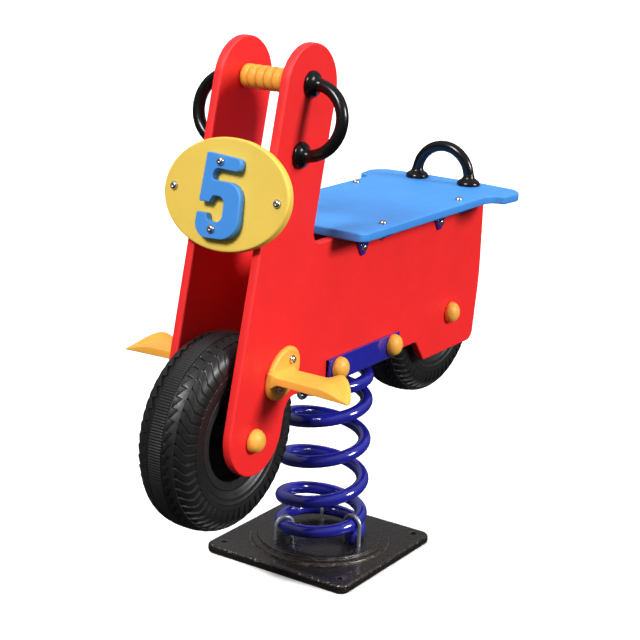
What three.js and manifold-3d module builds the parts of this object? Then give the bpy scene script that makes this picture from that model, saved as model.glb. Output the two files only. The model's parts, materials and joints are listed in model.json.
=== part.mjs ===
// Playground spring rocker shaped like a trials motorcycle.
// Millimetres, +Z up. The origin is the middle of the base plate's underside.
// The rider faces -Y, so +X is the rocker's left-hand side.
import * as THREE from 'three';
import { mergeVertices } from 'three/addons/utils/BufferGeometryUtils.js';
import Module from 'manifold-3d';

const wasm = await Module();
wasm.setup();

// ---------- driving dimensions ----------
const GAP = 0.3;                    // clearance between touching parts
const HOLE_GAP = 0.3;               // radial clearance of a pin in its hole
const CUT = 1;                      // how far a cutter runs past the face it cuts
const MIN_EDGE = 0.05;              // outline points closer than this are one point
const QUARTER_PULL = 0.5523;        // Bezier handle of a quarter circle, over its radius

const PLATE_SIDE = 288;
const PLATE_THICK = 18;
const PLATE_CORNER = 16;
const PLATE_CHAMFER = 4;
const ANCHOR_POS = 120;
const ANCHOR_RADIUS = 6;
const STEP_RADIUS = 121;
const DISC_RADIUS = 110;
const STEP_HIGH = 5;
const STEP_EASE = 2;                // the steps' edges are eased
const DISC_TOP = PLATE_THICK + 2 * STEP_HIGH;

const COIL_RADIUS = 70;             // helix centreline
const WIRE_RADIUS = 11;
const WIRE_SIDES = 10;
const STEPS_PER_TURN = 20;
const COIL_START_DEG = -20;
const COIL_BOTTOM = DISC_TOP + WIRE_RADIUS + GAP;
const END_PITCH = 5;                // rise per turn where the wire ends
const CLOSED_PITCH = 41;            // rise per turn at the end of the closed turn
const OPEN_PITCH = 73;              // rise per turn of the working coils
const RAMP_TURNS = 0.8;
const COIL_TURNS = 5.725;
const COIL_START = 0.03;            // turns; the wire's lower end is cut back this far
const COIL_CUTS = [COIL_START, 1.15, 2.05, 2.95, 3.85, 4.6, COIL_TURNS];

const ROD_RADIUS = 3.5;             // hooks that hold the coil ends
const ROD_SIDES = 8;
const ROD_STEPS = 12;
const HOOK_REACH = WIRE_RADIUS + ROD_RADIUS + 1.2;
const HOOK_DEPTH = 10;
const NUT_HIGH = 5;
const NUT_RADIUS = 6.5;
const BASE_HOOKS = [['left', 355], ['rear', 120], ['front', 240]];
const TOP_HOOK_TURNS = [['front', 4.8056], ['rear', 5.3056]];

const PANEL_THICK = 15;
const PANEL_OUT = 69;               // outer face of a side panel
const PANEL_IN = PANEL_OUT - PANEL_THICK;
const PANEL_ROUND = 2.5;
const SCREW_DEPTH = 9;              // blind screw holes
const LOBE = [-301, 313];           // y, z of the fork's lower round
const CROWN = [-182.5, 834.5];      // y, z of the fork's upper round
const FORK_RADIUS = 69;
const PANEL_BOTTOM = 349.3;
const PANEL_LOW = 309;
const PANEL_TOP = 588.7;
const PANEL_REAR = 406;

const CHANNEL_THICK = 6;
const CHANNEL_HALF = 111;
const CHANNEL_OUT = PANEL_OUT + GAP + CHANNEL_THICK;
const CHANNEL_BOTTOM = PANEL_BOTTOM - GAP - CHANNEL_THICK;
const CHANNEL_TOP = 387;
const CHANNEL_BEND = 7;
const BOLT_RADIUS = 6;
const BOLT_Y = 85;
const BOLT_Z = 369;

const AXLE_RADIUS = 6;
const FRONT_AXLE = [-309, 304];
const REAR_AXLE = [297, 381];
const WHEEL_SIDES = 28;
const TYRE_RADIUS = 158;
const TYRE_HALF = 48;
// Drop below the crown and half width of the tyre's profile points.
const TYRE_SHOULDERS = [[1.5, 20], [8, 35], [19, 44], [34, TYRE_HALF], [54, 46]];
const BEAD_GAP = 0.5;
const BEAD_HALF = 42;
const RIM_RADIUS = 79;
const RIM_FLANGE = 87;
const RIM_SEAT_HALF = 36;
const RIM_HALF = 40;
const RIM_WALL = 7;
const RIM_WELL = 12;
const WEB_HALF = 8;
const HUB_ROOT = 24;
const HUB_RADIUS = 20;
const HUB_HALF = 53.4;

const CAP_RADIUS = 19;
const CAP_WALL = 5;                 // straight part of a cap
const CAP_HIGH = 18;
const CAP_BORE = 11;
const CAP_STEPS = 4;

const SEAT_TOP = 604;
const SEAT_THICK = 15;
const SEAT_FRONT = -105;
const SEAT_REAR = 402;
const SEAT_HALF = 126;
const WING_HALF = 158;
const SEAT_BOLT_X = 106;
const SEAT_BOLT_Y = { front: -18, rear: 236 };

const BRACKET_THICK = 3.5;
const BRACKET_WIDE = 36;
const BRACKET_LEG = 50;
const TAB_LONG = 52;
const TAB_SHOULDER = 21;
const TAB_STUD = 30;
const STUD_DEPTH = 8;
const SIGN_LEG = 37;

const HANDLE_SPAN = 108;
const HANDLE_TUBE = 9.8;
const HANDLE_RISE = 11;             // straight part below the half circle
// Radius and height of a bell flange.
const FLANGE_PROFILE = [[0, GAP], [21, GAP], [20.5, 5], [16.5, 9.5], [11.5, 13], [0, 13.5]];
const HANDLE_ROOT = 3;
const HANDLE_BORE = 5.5;
const HANDLE_SIDES = 10;
const HANDLE_STEPS = 16;
const SEAT_HANDLE_Y = 365;
const GRIP_AXIS = [-187, 842];      // y, z of the grip bar and the upper flanges

const BAR_RADIUS = 7;
const BAR_END = PANEL_OUT + 5;
const GRIP_HALF = PANEL_IN - 2 * GAP;
const GRIP_BORE = BAR_RADIUS + 0.5;
const RING_EASE = 0.3;              // part of a ring's width that slopes, at each side
const RING_COUNT = 7;
const RING_RADIUS = 19;
const RING_GROOVE = 16.5;

const REST_CENTRE = [-241, 397];    // y, z of a footrest flange
const REST_LONG = 47.2;
const REST_SHORT = 35.7;
const REST_TILT_DEG = 41;
const REST_FLANGE = 9;
const REST_SCREW = 26;              // screws sit this far from the flange centre
const REST_SCREW_TILT_DEG = 51;

const PEG_Y = -249.75;              // middle of a footrest's tread
const PEG_TOP = 401;
const PEG_HALF = 26.75;
const PEG_REACH = 148;              // from the panel to the front corner
const PEG_ROUND_FROM = 86;          // where the rear edge starts to curve in
const PEG_DEEP = 12.5;              // depth at the root
const PEG_TIP_DEEP = 16.4;
const PEG_DROP_FROM = 91;           // where the front edge starts to fall to the corner
const LIP_FROM = 72;
const LIP_PEAK = 107;
const LIP_HIGH = 11.5;
const LIP_WIDE = 30;
const PEG_FLARE = 5;                // the root swells into the flange
const PEG_FLARE_LONG = 13;
const PEG_STATIONS = [3, 9, 13, 22, 72, 81, 90, 99, 107, 116, 124, 132, 139, 146];
const PEG_ACROSS = 6;

const SIGN_CENTRE = [-306.2, 679.7];
const SIGN_HALF_X = 115.5;
const SIGN_HALF_S = 86.2;
const SIGN_THICK = 15;
const SIGN_BOLT_X = 96;
const FIGURE_THICK = 14;
const FIGURE_ROUND = 1.5;

const SCREW_HEAD = 6;
const SCREW_WASHER = 7;
const SCREW_DOME = 5;
const SCREW_RIM = 1.5;
const SCREW_SHANK = 3;
const SCREW_SIDES = 8;
const BOLT_LONG = 28;
const CAP_SIDES = 12;
const HOLE_SIDES = 12;
const STEP_SIDES = 32;
const OVAL_SIDES = 24;
const SIGN_SIDES = 40;
const GRIP_SIDES = 14;
const NUT_SIDES = 6;

// ---------- materials ----------
const material = (color, roughness, metalness) =>
  new THREE.MeshStandardMaterial({ color, roughness, metalness });

const MATERIALS = {
  redSheet: material('#f03030', 0.5, 0),
  blueSheet: material('#4b9bf0', 0.5, 0),
  yellowSheet: material('#f2d660', 0.5, 0),
  orangePlastic: material('#faaf3c', 0.35, 0),
  blackPlastic: material('#141416', 0.25, 0),
  blueSteel: material('#2323a5', 0.3, 0.4),
  blackIron: material('#2a2727', 0.7, 0.5),
  zinc: material('#a9adb0', 0.45, 0.9),
  stainless: material('#c4c7ca', 0.2, 1),
  tyreRubber: material('#26282a', 0.85, 0),
  rimPaint: material('#303234', 0.6, 0.3),
};

const X_AXIS = new THREE.Vector3(1, 0, 0);
const Y_AXIS = new THREE.Vector3(0, 1, 0);
const Z_AXIS = new THREE.Vector3(0, 0, 1);

// ---------- solids ----------
function signedVolume(position, index) {
  const a = new THREE.Vector3();
  const b = new THREE.Vector3();
  const c = new THREE.Vector3();
  let sum = 0;
  for (let i = 0; i < index.length; i += 3) {
    a.fromBufferAttribute(position, index[i]);
    b.fromBufferAttribute(position, index[i + 1]);
    c.fromBufferAttribute(position, index[i + 2]);
    sum += a.dot(b.cross(c));
  }
  return sum / 6;
}

function toSolid(geometry) {
  const bare = geometry.clone();
  bare.deleteAttribute('normal');
  bare.deleteAttribute('uv');
  const merged = mergeVertices(bare, 1e-4);
  const triangles = Uint32Array.from(merged.index.array);
  if (signedVolume(merged.attributes.position, triangles) < 0) {
    for (let i = 0; i < triangles.length; i += 3) {
      [triangles[i], triangles[i + 1]] = [triangles[i + 1], triangles[i]];
    }
  }
  const vertProperties = Float32Array.from(merged.attributes.position.array);
  return new wasm.Manifold(new wasm.Mesh({ numProp: 3, vertProperties, triVerts: triangles }));
}

function toGeometry(solid) {
  const { vertProperties, triVerts, numProp } = solid.getMesh();
  const points = new Float32Array(vertProperties.length / numProp * 3);
  for (let i = 0; i < points.length / 3; i += 1) {
    points.set(vertProperties.subarray(i * numProp, i * numProp + 3), i * 3);
  }
  const geometry = new THREE.BufferGeometry();
  geometry.setAttribute('position', new THREE.BufferAttribute(points, 3));
  geometry.setIndex(Array.from(triVerts));
  geometry.computeVertexNormals();
  return geometry;
}

const union = (solids) => solids.reduce((sum, solid) => sum.add(solid));
const without = (solid, cutters) => cutters.reduce((rest, cutter) => rest.subtract(cutter), solid);

// ---------- shapes ----------
// A closed polygon whose corners [u, v, radius, segments] are rounded.
function roundedShape(corners) {
  const points = [];
  corners.forEach(([u, v, radius = 0, segments = 4], i) => {
    const corner = new THREE.Vector2(u, v);
    const before = new THREE.Vector2(...corners.at(i - 1).slice(0, 2)).sub(corner).normalize();
    const after = new THREE.Vector2(...corners[(i + 1) % corners.length].slice(0, 2));
    after.sub(corner).normalize();
    if (radius === 0) {
      points.push(corner);
      return;
    }
    const half = Math.acos(THREE.MathUtils.clamp(before.dot(after), -1, 1)) / 2;
    const middle = before.clone().add(after).normalize().multiplyScalar(radius / Math.sin(half));
    const centre = corner.clone().add(middle);
    const start = before.multiplyScalar(radius / Math.tan(half)).add(corner).sub(centre);
    const end = after.multiplyScalar(radius / Math.tan(half)).add(corner).sub(centre);
    const sweep = Math.atan2(start.cross(end), start.dot(end));
    for (let k = 0; k <= segments; k += 1) {
      const turned = start.clone().rotateAround(new THREE.Vector2(), sweep * k / segments);
      points.push(turned.add(centre));
    }
  });
  const apart = points.filter((point, i) => point.distanceTo(points.at(i - 1)) > MIN_EDGE);
  return new THREE.Shape(apart);
}

function ellipseShape(halfU, halfV, sides) {
  const curve = new THREE.EllipseCurve(0, 0, halfU, halfV, 0, 2 * Math.PI);
  return new THREE.Shape(curve.getPoints(sides).slice(0, sides));
}

const circleShape = (radius, sides) => ellipseShape(radius, radius, sides);

// Extrudes along local +Z from 0 to thick, with the edges taken off by round.
function slab(shape, thick, round = 0) {
  return new THREE.ExtrudeGeometry(shape, {
    depth: thick - 2 * round,
    bevelEnabled: round > 0,
    bevelThickness: round,
    bevelSize: round,
    bevelOffset: -round,
    bevelSegments: 1,
    steps: 1,
  }).translate(0, 0, round);
}

// Turns local (u, v, w) so that u is Y, v is Z and w is X.
const SIDE_VIEW = new THREE.Matrix4().makeBasis(Y_AXIS, Z_AXIS, X_AXIS);
// Turns local (u, v, w) so that u is X, v is Z and w is -Y.
const FRONT_VIEW = new THREE.Matrix4().makeBasis(X_AXIS, Z_AXIS, Y_AXIS.clone().negate());

function alongX(shape, from, to, round = 0) {
  return slab(shape, to - from, round).applyMatrix4(SIDE_VIEW).translate(from, 0, 0);
}

// A round bar between two x positions, about the line through (y, z).
function xBar(radius, from, to, [y, z], sides = HOLE_SIDES) {
  return toSolid(alongX(circleShape(radius, sides), from, to).translate(0, y, z));
}

function zBar(radius, from, to, x, y, sides = SCREW_SIDES) {
  return toSolid(slab(circleShape(radius, sides), to - from).translate(x, y, from));
}

// Turns a profile of [radius, height] about local Z.
function lathe(profile, sides) {
  const points = profile.map(([radius, height]) => new THREE.Vector2(radius, height));
  return new THREE.LatheGeometry(points, sides).rotateX(Math.PI / 2);
}

const zToX = (geometry) => geometry.rotateY(Math.PI / 2);

// A tube along a curve, with flat ends square to the curve.
function tube(curve, radius, sides, steps) {
  return new THREE.ExtrudeGeometry(circleShape(radius, sides), {
    steps,
    bevelEnabled: false,
    extrudePath: curve,
  });
}

// ---------- spring ----------
// Rise per turn along the wire: nearly flat at both ends, open in the middle.
const PITCH_STOPS = [
  [0, END_PITCH],
  [1, CLOSED_PITCH],
  [1 + RAMP_TURNS, OPEN_PITCH],
  [COIL_TURNS - 1 - RAMP_TURNS, OPEN_PITCH],
  [COIL_TURNS - 1, CLOSED_PITCH],
  [COIL_TURNS, END_PITCH],
];

function coilHeight(turns) {
  let height = COIL_BOTTOM;
  for (let i = 1; i < PITCH_STOPS.length; i += 1) {
    const [from, pitchFrom] = PITCH_STOPS[i - 1];
    const [to, pitchTo] = PITCH_STOPS[i];
    const run = THREE.MathUtils.clamp(turns - from, 0, to - from);
    const pitchAt = pitchFrom + (pitchTo - pitchFrom) * run / (to - from);
    height += run * (pitchFrom + pitchAt) / 2;
  }
  return height;
}

function coilPoint(turns, radius = COIL_RADIUS) {
  const angle = THREE.MathUtils.degToRad(COIL_START_DEG) + 2 * Math.PI * turns;
  return new THREE.Vector3(radius * Math.cos(angle), radius * Math.sin(angle), coilHeight(turns));
}

class Coil extends THREE.Curve {
  constructor(from, to) {
    super();
    this.from = from;
    this.to = to;
  }

  getPoint(t, target = new THREE.Vector3()) {
    return target.copy(coilPoint(this.from + (this.to - this.from) * t));
  }
}

function coilPiece(index) {
  const trim = GAP / 2 / (2 * Math.PI * COIL_RADIUS);
  const from = COIL_CUTS[index] + trim;
  const to = COIL_CUTS[index + 1] - trim;
  const steps = Math.ceil((to - from) * STEPS_PER_TURN);
  return toSolid(tube(new Coil(from, to), WIRE_RADIUS, WIRE_SIDES, steps));
}

// A bent rod over (or under) the wire: two upright legs and a half circle.
function hook(angleDeg, wireHeight, legEnd) {
  const side = Math.sign(wireHeight - legEnd);
  const angle = THREE.MathUtils.degToRad(angleDeg);
  const at = (radius, height) =>
    new THREE.Vector3(radius * Math.cos(angle), radius * Math.sin(angle), height);
  const inner = COIL_RADIUS - HOOK_REACH;
  const outer = COIL_RADIUS + HOOK_REACH;
  const lean = QUARTER_PULL * HOOK_REACH * side;
  const path = new THREE.CurvePath();
  path.add(new THREE.LineCurve3(at(outer, legEnd), at(outer, wireHeight)));
  path.add(new THREE.CubicBezierCurve3(
    at(outer, wireHeight),
    at(outer, wireHeight + lean),
    at(COIL_RADIUS + Math.abs(lean), wireHeight + side * HOOK_REACH),
    at(COIL_RADIUS, wireHeight + side * HOOK_REACH),
  ));
  path.add(new THREE.CubicBezierCurve3(
    at(COIL_RADIUS, wireHeight + side * HOOK_REACH),
    at(COIL_RADIUS - Math.abs(lean), wireHeight + side * HOOK_REACH),
    at(inner, wireHeight + lean),
    at(inner, wireHeight),
  ));
  path.add(new THREE.LineCurve3(at(inner, wireHeight), at(inner, legEnd)));
  return toSolid(tube(path, ROD_RADIUS, ROD_SIDES, ROD_STEPS));
}

function hookHoles(angleDeg, from, to) {
  const angle = THREE.MathUtils.degToRad(angleDeg);
  return [COIL_RADIUS - HOOK_REACH, COIL_RADIUS + HOOK_REACH].map((radius) =>
    zBar(ROD_RADIUS + HOLE_GAP, from, to, radius * Math.cos(angle), radius * Math.sin(angle), ROD_SIDES));
}

const turnAngle = (turns) => COIL_START_DEG + 360 * turns;

// ---------- base ----------
function basePlate() {
  const half = PLATE_SIDE / 2;
  const square = [[-half, -half], [half, -half], [half, half], [-half, half]];
  const outline = roundedShape(square.map(([x, y]) => [x, y, PLATE_CORNER, 3]));
  const sheet = toSolid(slab(outline, PLATE_THICK, PLATE_CHAMFER));
  const foot = toSolid(slab(outline, PLATE_THICK / 2));
  const steps = toSolid(lathe([
    [0, PLATE_THICK / 2],
    [STEP_RADIUS, PLATE_THICK / 2],
    [STEP_RADIUS, PLATE_THICK + STEP_HIGH - STEP_EASE],
    [STEP_RADIUS - STEP_EASE, PLATE_THICK + STEP_HIGH],
    [DISC_RADIUS, PLATE_THICK + STEP_HIGH],
    [DISC_RADIUS, DISC_TOP - STEP_EASE],
    [DISC_RADIUS - STEP_EASE, DISC_TOP],
    [0, DISC_TOP],
  ], STEP_SIDES));
  const anchors = square.map(([x, y]) => zBar(
    ANCHOR_RADIUS, -CUT, PLATE_THICK + CUT,
    Math.sign(x) * ANCHOR_POS, Math.sign(y) * ANCHOR_POS, HOLE_SIDES,
  ));
  const sockets = BASE_HOOKS.flatMap(([, angle]) =>
    hookHoles(angle, DISC_TOP - HOOK_DEPTH - GAP, DISC_TOP + CUT));
  return without(union([sheet, foot, steps]), [...anchors, ...sockets]);
}

function baseHook(angleDeg) {
  const first = (angleDeg - COIL_START_DEG) / 360;
  const turns = first > 1 ? first : first % 1;
  return hook(angleDeg, coilHeight(turns), DISC_TOP - HOOK_DEPTH);
}

// ---------- saddle channel and its bolts ----------
const boltPositions = [['front', [-BOLT_Y, BOLT_Z]], ['rear', [BOLT_Y, BOLT_Z]]];

function saddleChannel() {
  const inner = CHANNEL_OUT - CHANNEL_THICK;
  const web = CHANNEL_BOTTOM + CHANNEL_THICK;
  const profile = roundedShape([
    [-CHANNEL_OUT, CHANNEL_BOTTOM, CHANNEL_BEND],
    [CHANNEL_OUT, CHANNEL_BOTTOM, CHANNEL_BEND],
    [CHANNEL_OUT, CHANNEL_TOP],
    [inner, CHANNEL_TOP],
    [inner, web],
    [-inner, web],
    [-inner, CHANNEL_TOP],
    [-CHANNEL_OUT, CHANNEL_TOP],
  ]);
  const length = 2 * CHANNEL_HALF;
  const bent = slab(profile, length).applyMatrix4(FRONT_VIEW).translate(0, CHANNEL_HALF, 0);
  const boltHoles = boltPositions.map(([, at]) =>
    xBar(BOLT_RADIUS + HOLE_GAP, -CHANNEL_OUT - CUT, CHANNEL_OUT + CUT, at));
  const hookSlots = TOP_HOOK_TURNS.flatMap(([, turns]) =>
    hookHoles(turnAngle(turns), CHANNEL_BOTTOM - CUT, web + CUT));
  return without(toSolid(bent), [...boltHoles, ...hookSlots]);
}

function topHook(turns) {
  const nutLow = CHANNEL_BOTTOM + CHANNEL_THICK + GAP;
  const bentRod = hook(turnAngle(turns), coilHeight(turns), nutLow + NUT_HIGH + ROD_RADIUS);
  const angle = THREE.MathUtils.degToRad(turnAngle(turns));
  const nuts = [COIL_RADIUS - HOOK_REACH, COIL_RADIUS + HOOK_REACH].map((radius) =>
    zBar(NUT_RADIUS, nutLow, nutLow + NUT_HIGH,
      radius * Math.cos(angle), radius * Math.sin(angle), NUT_SIDES));
  return union([bentRod, ...nuts]);
}

function domeCap(outward) {
  const profile = [
    [0, CAP_BORE],
    [BOLT_RADIUS + HOLE_GAP, CAP_BORE],
    [BOLT_RADIUS + HOLE_GAP, 0],
    [CAP_RADIUS, 0],
    [CAP_RADIUS, CAP_WALL],
  ];
  for (let k = 1; k < CAP_STEPS; k += 1) {
    const angle = Math.PI / 2 * k / CAP_STEPS;
    const height = CAP_WALL + (CAP_HIGH - CAP_WALL) * Math.sin(angle);
    profile.push([CAP_RADIUS * Math.cos(angle), height]);
  }
  profile.push([0, CAP_HIGH]);
  const dome = zToX(lathe(profile, CAP_SIDES));
  return outward > 0 ? dome : dome.rotateZ(Math.PI);
}

// ---------- side panels ----------
const forkAxis = new THREE.Vector2(CROWN[0] - LOBE[0], CROWN[1] - LOBE[1]).normalize();
const forkFront = new THREE.Vector2(-forkAxis.y, forkAxis.x);

// A point of the fork outline: along the fork axis from one of its round ends.
function forkCorner([y, z], along, across) {
  const point = new THREE.Vector2(y, z);
  point.addScaledVector(forkAxis, along * FORK_RADIUS);
  point.addScaledVector(forkFront, across * FORK_RADIUS);
  return [point.x, point.y];
}

// Where the fork's rear edge crosses a height.
function forkRearAt(z) {
  const [y0, z0] = forkCorner(LOBE, 0, -1);
  return y0 + (z - z0) * forkAxis.x / forkAxis.y;
}

const handleLow = [
  GRIP_AXIS[0] - forkAxis.x * HANDLE_SPAN,
  GRIP_AXIS[1] - forkAxis.y * HANDLE_SPAN,
];

const restScrews = [-1, 1].map((end) => {
  const tilt = THREE.MathUtils.degToRad(REST_SCREW_TILT_DEG);
  return [
    REST_CENTRE[0] + end * REST_SCREW * Math.cos(tilt),
    REST_CENTRE[1] + end * REST_SCREW * Math.sin(tilt),
  ];
});

// Studs of the seat and sign brackets on the panel's outer face.
const signBack = [
  SIGN_CENTRE[0] - forkFront.x * (SIGN_THICK + GAP),
  SIGN_CENTRE[1] - forkFront.y * (SIGN_THICK + GAP),
];
const tabStuds = [
  ...Object.values(SEAT_BOLT_Y).map((y) => [y, PANEL_TOP - TAB_STUD]),
  [signBack[0] - forkFront.x * TAB_STUD, signBack[1] - forkFront.y * TAB_STUD],
];

function sidePanel(side) {
  const round = FORK_RADIUS;
  const outline = roundedShape([
    [...forkCorner(LOBE, -1, -1), round, 7],
    [forkRearAt(PANEL_BOTTOM), PANEL_BOTTOM, 28],
    [180, PANEL_BOTTOM, 14],
    [211, PANEL_LOW, 10],
    [391, PANEL_LOW, 20, 5],
    [PANEL_REAR, 430, 300, 3],
    [PANEL_REAR - 2, PANEL_TOP, 12],
    [forkRearAt(PANEL_TOP), PANEL_TOP, 20],
    [...forkCorner(CROWN, 1, -1), round, 7],
    [...forkCorner(CROWN, 1, 1), round, 7],
    [...forkCorner(LOBE, -1, 1), round, 7],
  ]);
  const [from, to] = side > 0 ? [PANEL_IN, PANEL_OUT] : [-PANEL_OUT, -PANEL_IN];
  const sheet = toSolid(alongX(outline, from, to, PANEL_ROUND));
  const through = [FRONT_AXLE, REAR_AXLE, ...boltPositions.map(([, at]) => at)].map((at) =>
    xBar(AXLE_RADIUS + HOLE_GAP, from - CUT, to + CUT, at));
  const bar = xBar(BAR_RADIUS + HOLE_GAP, from - CUT, to + CUT, GRIP_AXIS);
  const blind = [...restScrews, ...tabStuds].map((at) => {
    const ends = [side * (PANEL_OUT - SCREW_DEPTH), side * (PANEL_OUT + CUT)].sort((a, b) => a - b);
    return xBar(SCREW_SHANK + HOLE_GAP, ...ends, at, SCREW_SIDES);
  });
  return without(sheet, [...through, bar, ...blind]);
}

// ---------- wheels ----------
function tyre([y, z]) {
  const bead = RIM_RADIUS + GAP;
  const half = [
    [TYRE_RADIUS, 0],
    ...TYRE_SHOULDERS.map(([drop, x]) => [TYRE_RADIUS - drop, x]),
    [RIM_FLANGE + BEAD_GAP, BEAD_HALF],
    [RIM_FLANGE + BEAD_GAP, RIM_SEAT_HALF - GAP],
    [bead, RIM_SEAT_HALF - GAP],
  ];
  const other = half.slice(1).reverse().map(([radius, x]) => [radius, -x]);
  return zToX(lathe([...half, ...other, half[0]], WHEEL_SIDES)).translate(0, y, z);
}

function rim([y, z]) {
  const half = [
    [RIM_RADIUS, RIM_SEAT_HALF],
    [RIM_FLANGE, RIM_SEAT_HALF],
    [RIM_FLANGE, RIM_HALF],
    [RIM_RADIUS - RIM_WALL, RIM_HALF],
    [RIM_RADIUS - RIM_WELL, WEB_HALF],
    [HUB_ROOT, WEB_HALF],
    [HUB_RADIUS, HUB_HALF],
    [AXLE_RADIUS + HOLE_GAP, HUB_HALF],
  ];
  const other = half.slice().reverse().map(([radius, x]) => [radius, -x]);
  return zToX(lathe([...half, ...other, half[0]], WHEEL_SIDES)).translate(0, y, z);
}

// ---------- seat ----------
function seatBoard() {
  const side = [
    [SEAT_HALF - 8, SEAT_FRONT, 5, 2],
    [SEAT_HALF, SEAT_FRONT + 12, 6, 2],
    [SEAT_HALF, 314, 22, 5],
    [WING_HALF - 6, 322, 10, 3],
    [WING_HALF, 372, 30, 3],
    [WING_HALF - 24, SEAT_REAR - 8, 16, 4],
    [60, SEAT_REAR, 200, 3],
  ];
  const mirrored = side.slice().reverse().map(([x, ...rest]) => [-x, ...rest]);
  const board = toSolid(slab(roundedShape([...side, ...mirrored]), SEAT_THICK, PANEL_ROUND)
    .translate(0, 0, SEAT_TOP - SEAT_THICK));
  const holes = [-1, 1].flatMap((end) => Object.values(SEAT_BOLT_Y).map((y) =>
    zBar(SCREW_SHANK + HOLE_GAP, SEAT_TOP - SEAT_THICK - CUT, SEAT_TOP + CUT, end * SEAT_BOLT_X, y)));
  return without(board, holes);
}

// An L bracket: the leg runs outboard (+X) under local z = 0, the tab hangs below x = 0.
// The stud that holds the tab passes its plate and runs 8 mm into the panel behind it.
function angleBracket(boltOut, reach) {
  const half = BRACKET_WIDE / 2;
  const leg = toSolid(slab(roundedShape([
    [0, -half],
    [reach, -half, 8],
    [reach, half, 8],
    [0, half],
  ]), BRACKET_THICK).translate(0, 0, -BRACKET_THICK));
  const tab = toSolid(alongX(roundedShape([
    [-half, 0],
    [-half, -TAB_SHOULDER, 10, 3],
    [0, -TAB_LONG, 9],
    [half, -TAB_SHOULDER, 10, 3],
    [half, 0],
  ]), 0, BRACKET_THICK));
  const stud = toSolid(zToX(lathe([
    [0, -STUD_DEPTH],
    [SCREW_SHANK, -STUD_DEPTH],
    [SCREW_SHANK, BRACKET_THICK / 2],
    [SCREW_HEAD, BRACKET_THICK / 2],
    [SCREW_HEAD, BRACKET_THICK + 1],
    [SCREW_HEAD * 0.7, BRACKET_THICK + 3],
    [0, BRACKET_THICK + 4],
  ], SCREW_SIDES)).translate(0, 0, -TAB_STUD));
  const hole = zBar(SCREW_SHANK + HOLE_GAP, -BRACKET_THICK - CUT, CUT, boltOut, 0);
  return without(union([leg, tab, stud]), [hole]);
}

// Places a bracket solid on one side of the rocker.
function placed(solid, matrix) {
  return solid.transform(matrix.elements);
}

function seatBracket(side, y) {
  const turn = new THREE.Matrix4().makeRotationZ(side > 0 ? 0 : Math.PI);
  turn.setPosition(side * (PANEL_OUT + GAP), y, SEAT_TOP - SEAT_THICK - GAP);
  return placed(angleBracket(SEAT_BOLT_X - PANEL_OUT - GAP, BRACKET_LEG), turn);
}

function signBracket(side) {
  const up = new THREE.Vector3(0, forkFront.x, forkFront.y);
  const out = X_AXIS.clone().multiplyScalar(side);
  const across = new THREE.Vector3().crossVectors(up, out);
  const turn = new THREE.Matrix4().makeBasis(out, across, up);
  turn.setPosition(side * (PANEL_OUT + GAP), ...signBack);
  return placed(angleBracket(SIGN_BOLT_X - PANEL_OUT - GAP, SIGN_LEG), turn);
}

// A dome screw with a washer; its head's underside is at local z = 0.
function domeScrew(shank, nutAt = 0) {
  const profile = [
    [0, SCREW_DOME],
    [SCREW_HEAD * 0.7, SCREW_DOME * 0.7],
    [SCREW_HEAD, SCREW_RIM],
    [SCREW_WASHER, SCREW_RIM],
    [SCREW_WASHER, 0],
    [SCREW_SHANK, 0],
  ];
  if (nutAt > 0) {
    profile.push([SCREW_SHANK, -nutAt], [SCREW_HEAD, -nutAt]);
    profile.push([SCREW_HEAD, -nutAt - NUT_HIGH], [SCREW_SHANK, -nutAt - NUT_HIGH]);
  }
  profile.push([SCREW_SHANK, -shank], [0, -shank]);
  return lathe(profile, SCREW_SIDES);
}

// ---------- handles ----------
// A D-shaped grab handle; its flanges stand on local z = 0 at y = +-span / 2.
// One flange may be bored for the grip bar's end.
function grabHandle(bored) {
  const half = HANDLE_SPAN / 2;
  const path = new THREE.CurvePath();
  const reach = QUARTER_PULL * half;
  const at = (y, z) => new THREE.Vector3(0, y, z);
  const top = HANDLE_RISE + half;
  path.add(new THREE.LineCurve3(at(-half, HANDLE_ROOT), at(-half, HANDLE_RISE)));
  path.add(new THREE.CubicBezierCurve3(
    at(-half, HANDLE_RISE), at(-half, HANDLE_RISE + reach), at(-reach, top), at(0, top)));
  path.add(new THREE.CubicBezierCurve3(
    at(0, top), at(reach, top), at(half, HANDLE_RISE + reach), at(half, HANDLE_RISE)));
  path.add(new THREE.LineCurve3(at(half, HANDLE_RISE), at(half, HANDLE_ROOT)));
  const bow = toSolid(tube(path, HANDLE_TUBE, HANDLE_SIDES, HANDLE_STEPS));
  const flange = lathe(FLANGE_PROFILE, GRIP_SIDES);
  const flanges = [-half, half].map((y) => toSolid(flange.clone().translate(0, y, 0)));
  const solid = union([bow, ...flanges]);
  if (!bored) {
    return solid;
  }
  return without(solid, [zBar(BAR_RADIUS + HOLE_GAP, -CUT, HANDLE_BORE, 0, half, HOLE_SIDES)]);
}

function forkHandle(side) {
  const out = X_AXIS.clone().multiplyScalar(side);
  const along = new THREE.Vector3(0, forkAxis.x, forkAxis.y);
  const across = new THREE.Vector3().crossVectors(along, out);
  const turn = new THREE.Matrix4().makeBasis(across, along, out);
  turn.setPosition(
    side * PANEL_OUT,
    (GRIP_AXIS[0] + handleLow[0]) / 2,
    (GRIP_AXIS[1] + handleLow[1]) / 2,
  );
  return placed(grabHandle(true), turn);
}

function seatHandle() {
  const turn = new THREE.Matrix4().makeRotationZ(Math.PI / 2);
  turn.setPosition(0, SEAT_HANDLE_Y, SEAT_TOP);
  return placed(grabHandle(false), turn);
}

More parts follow.
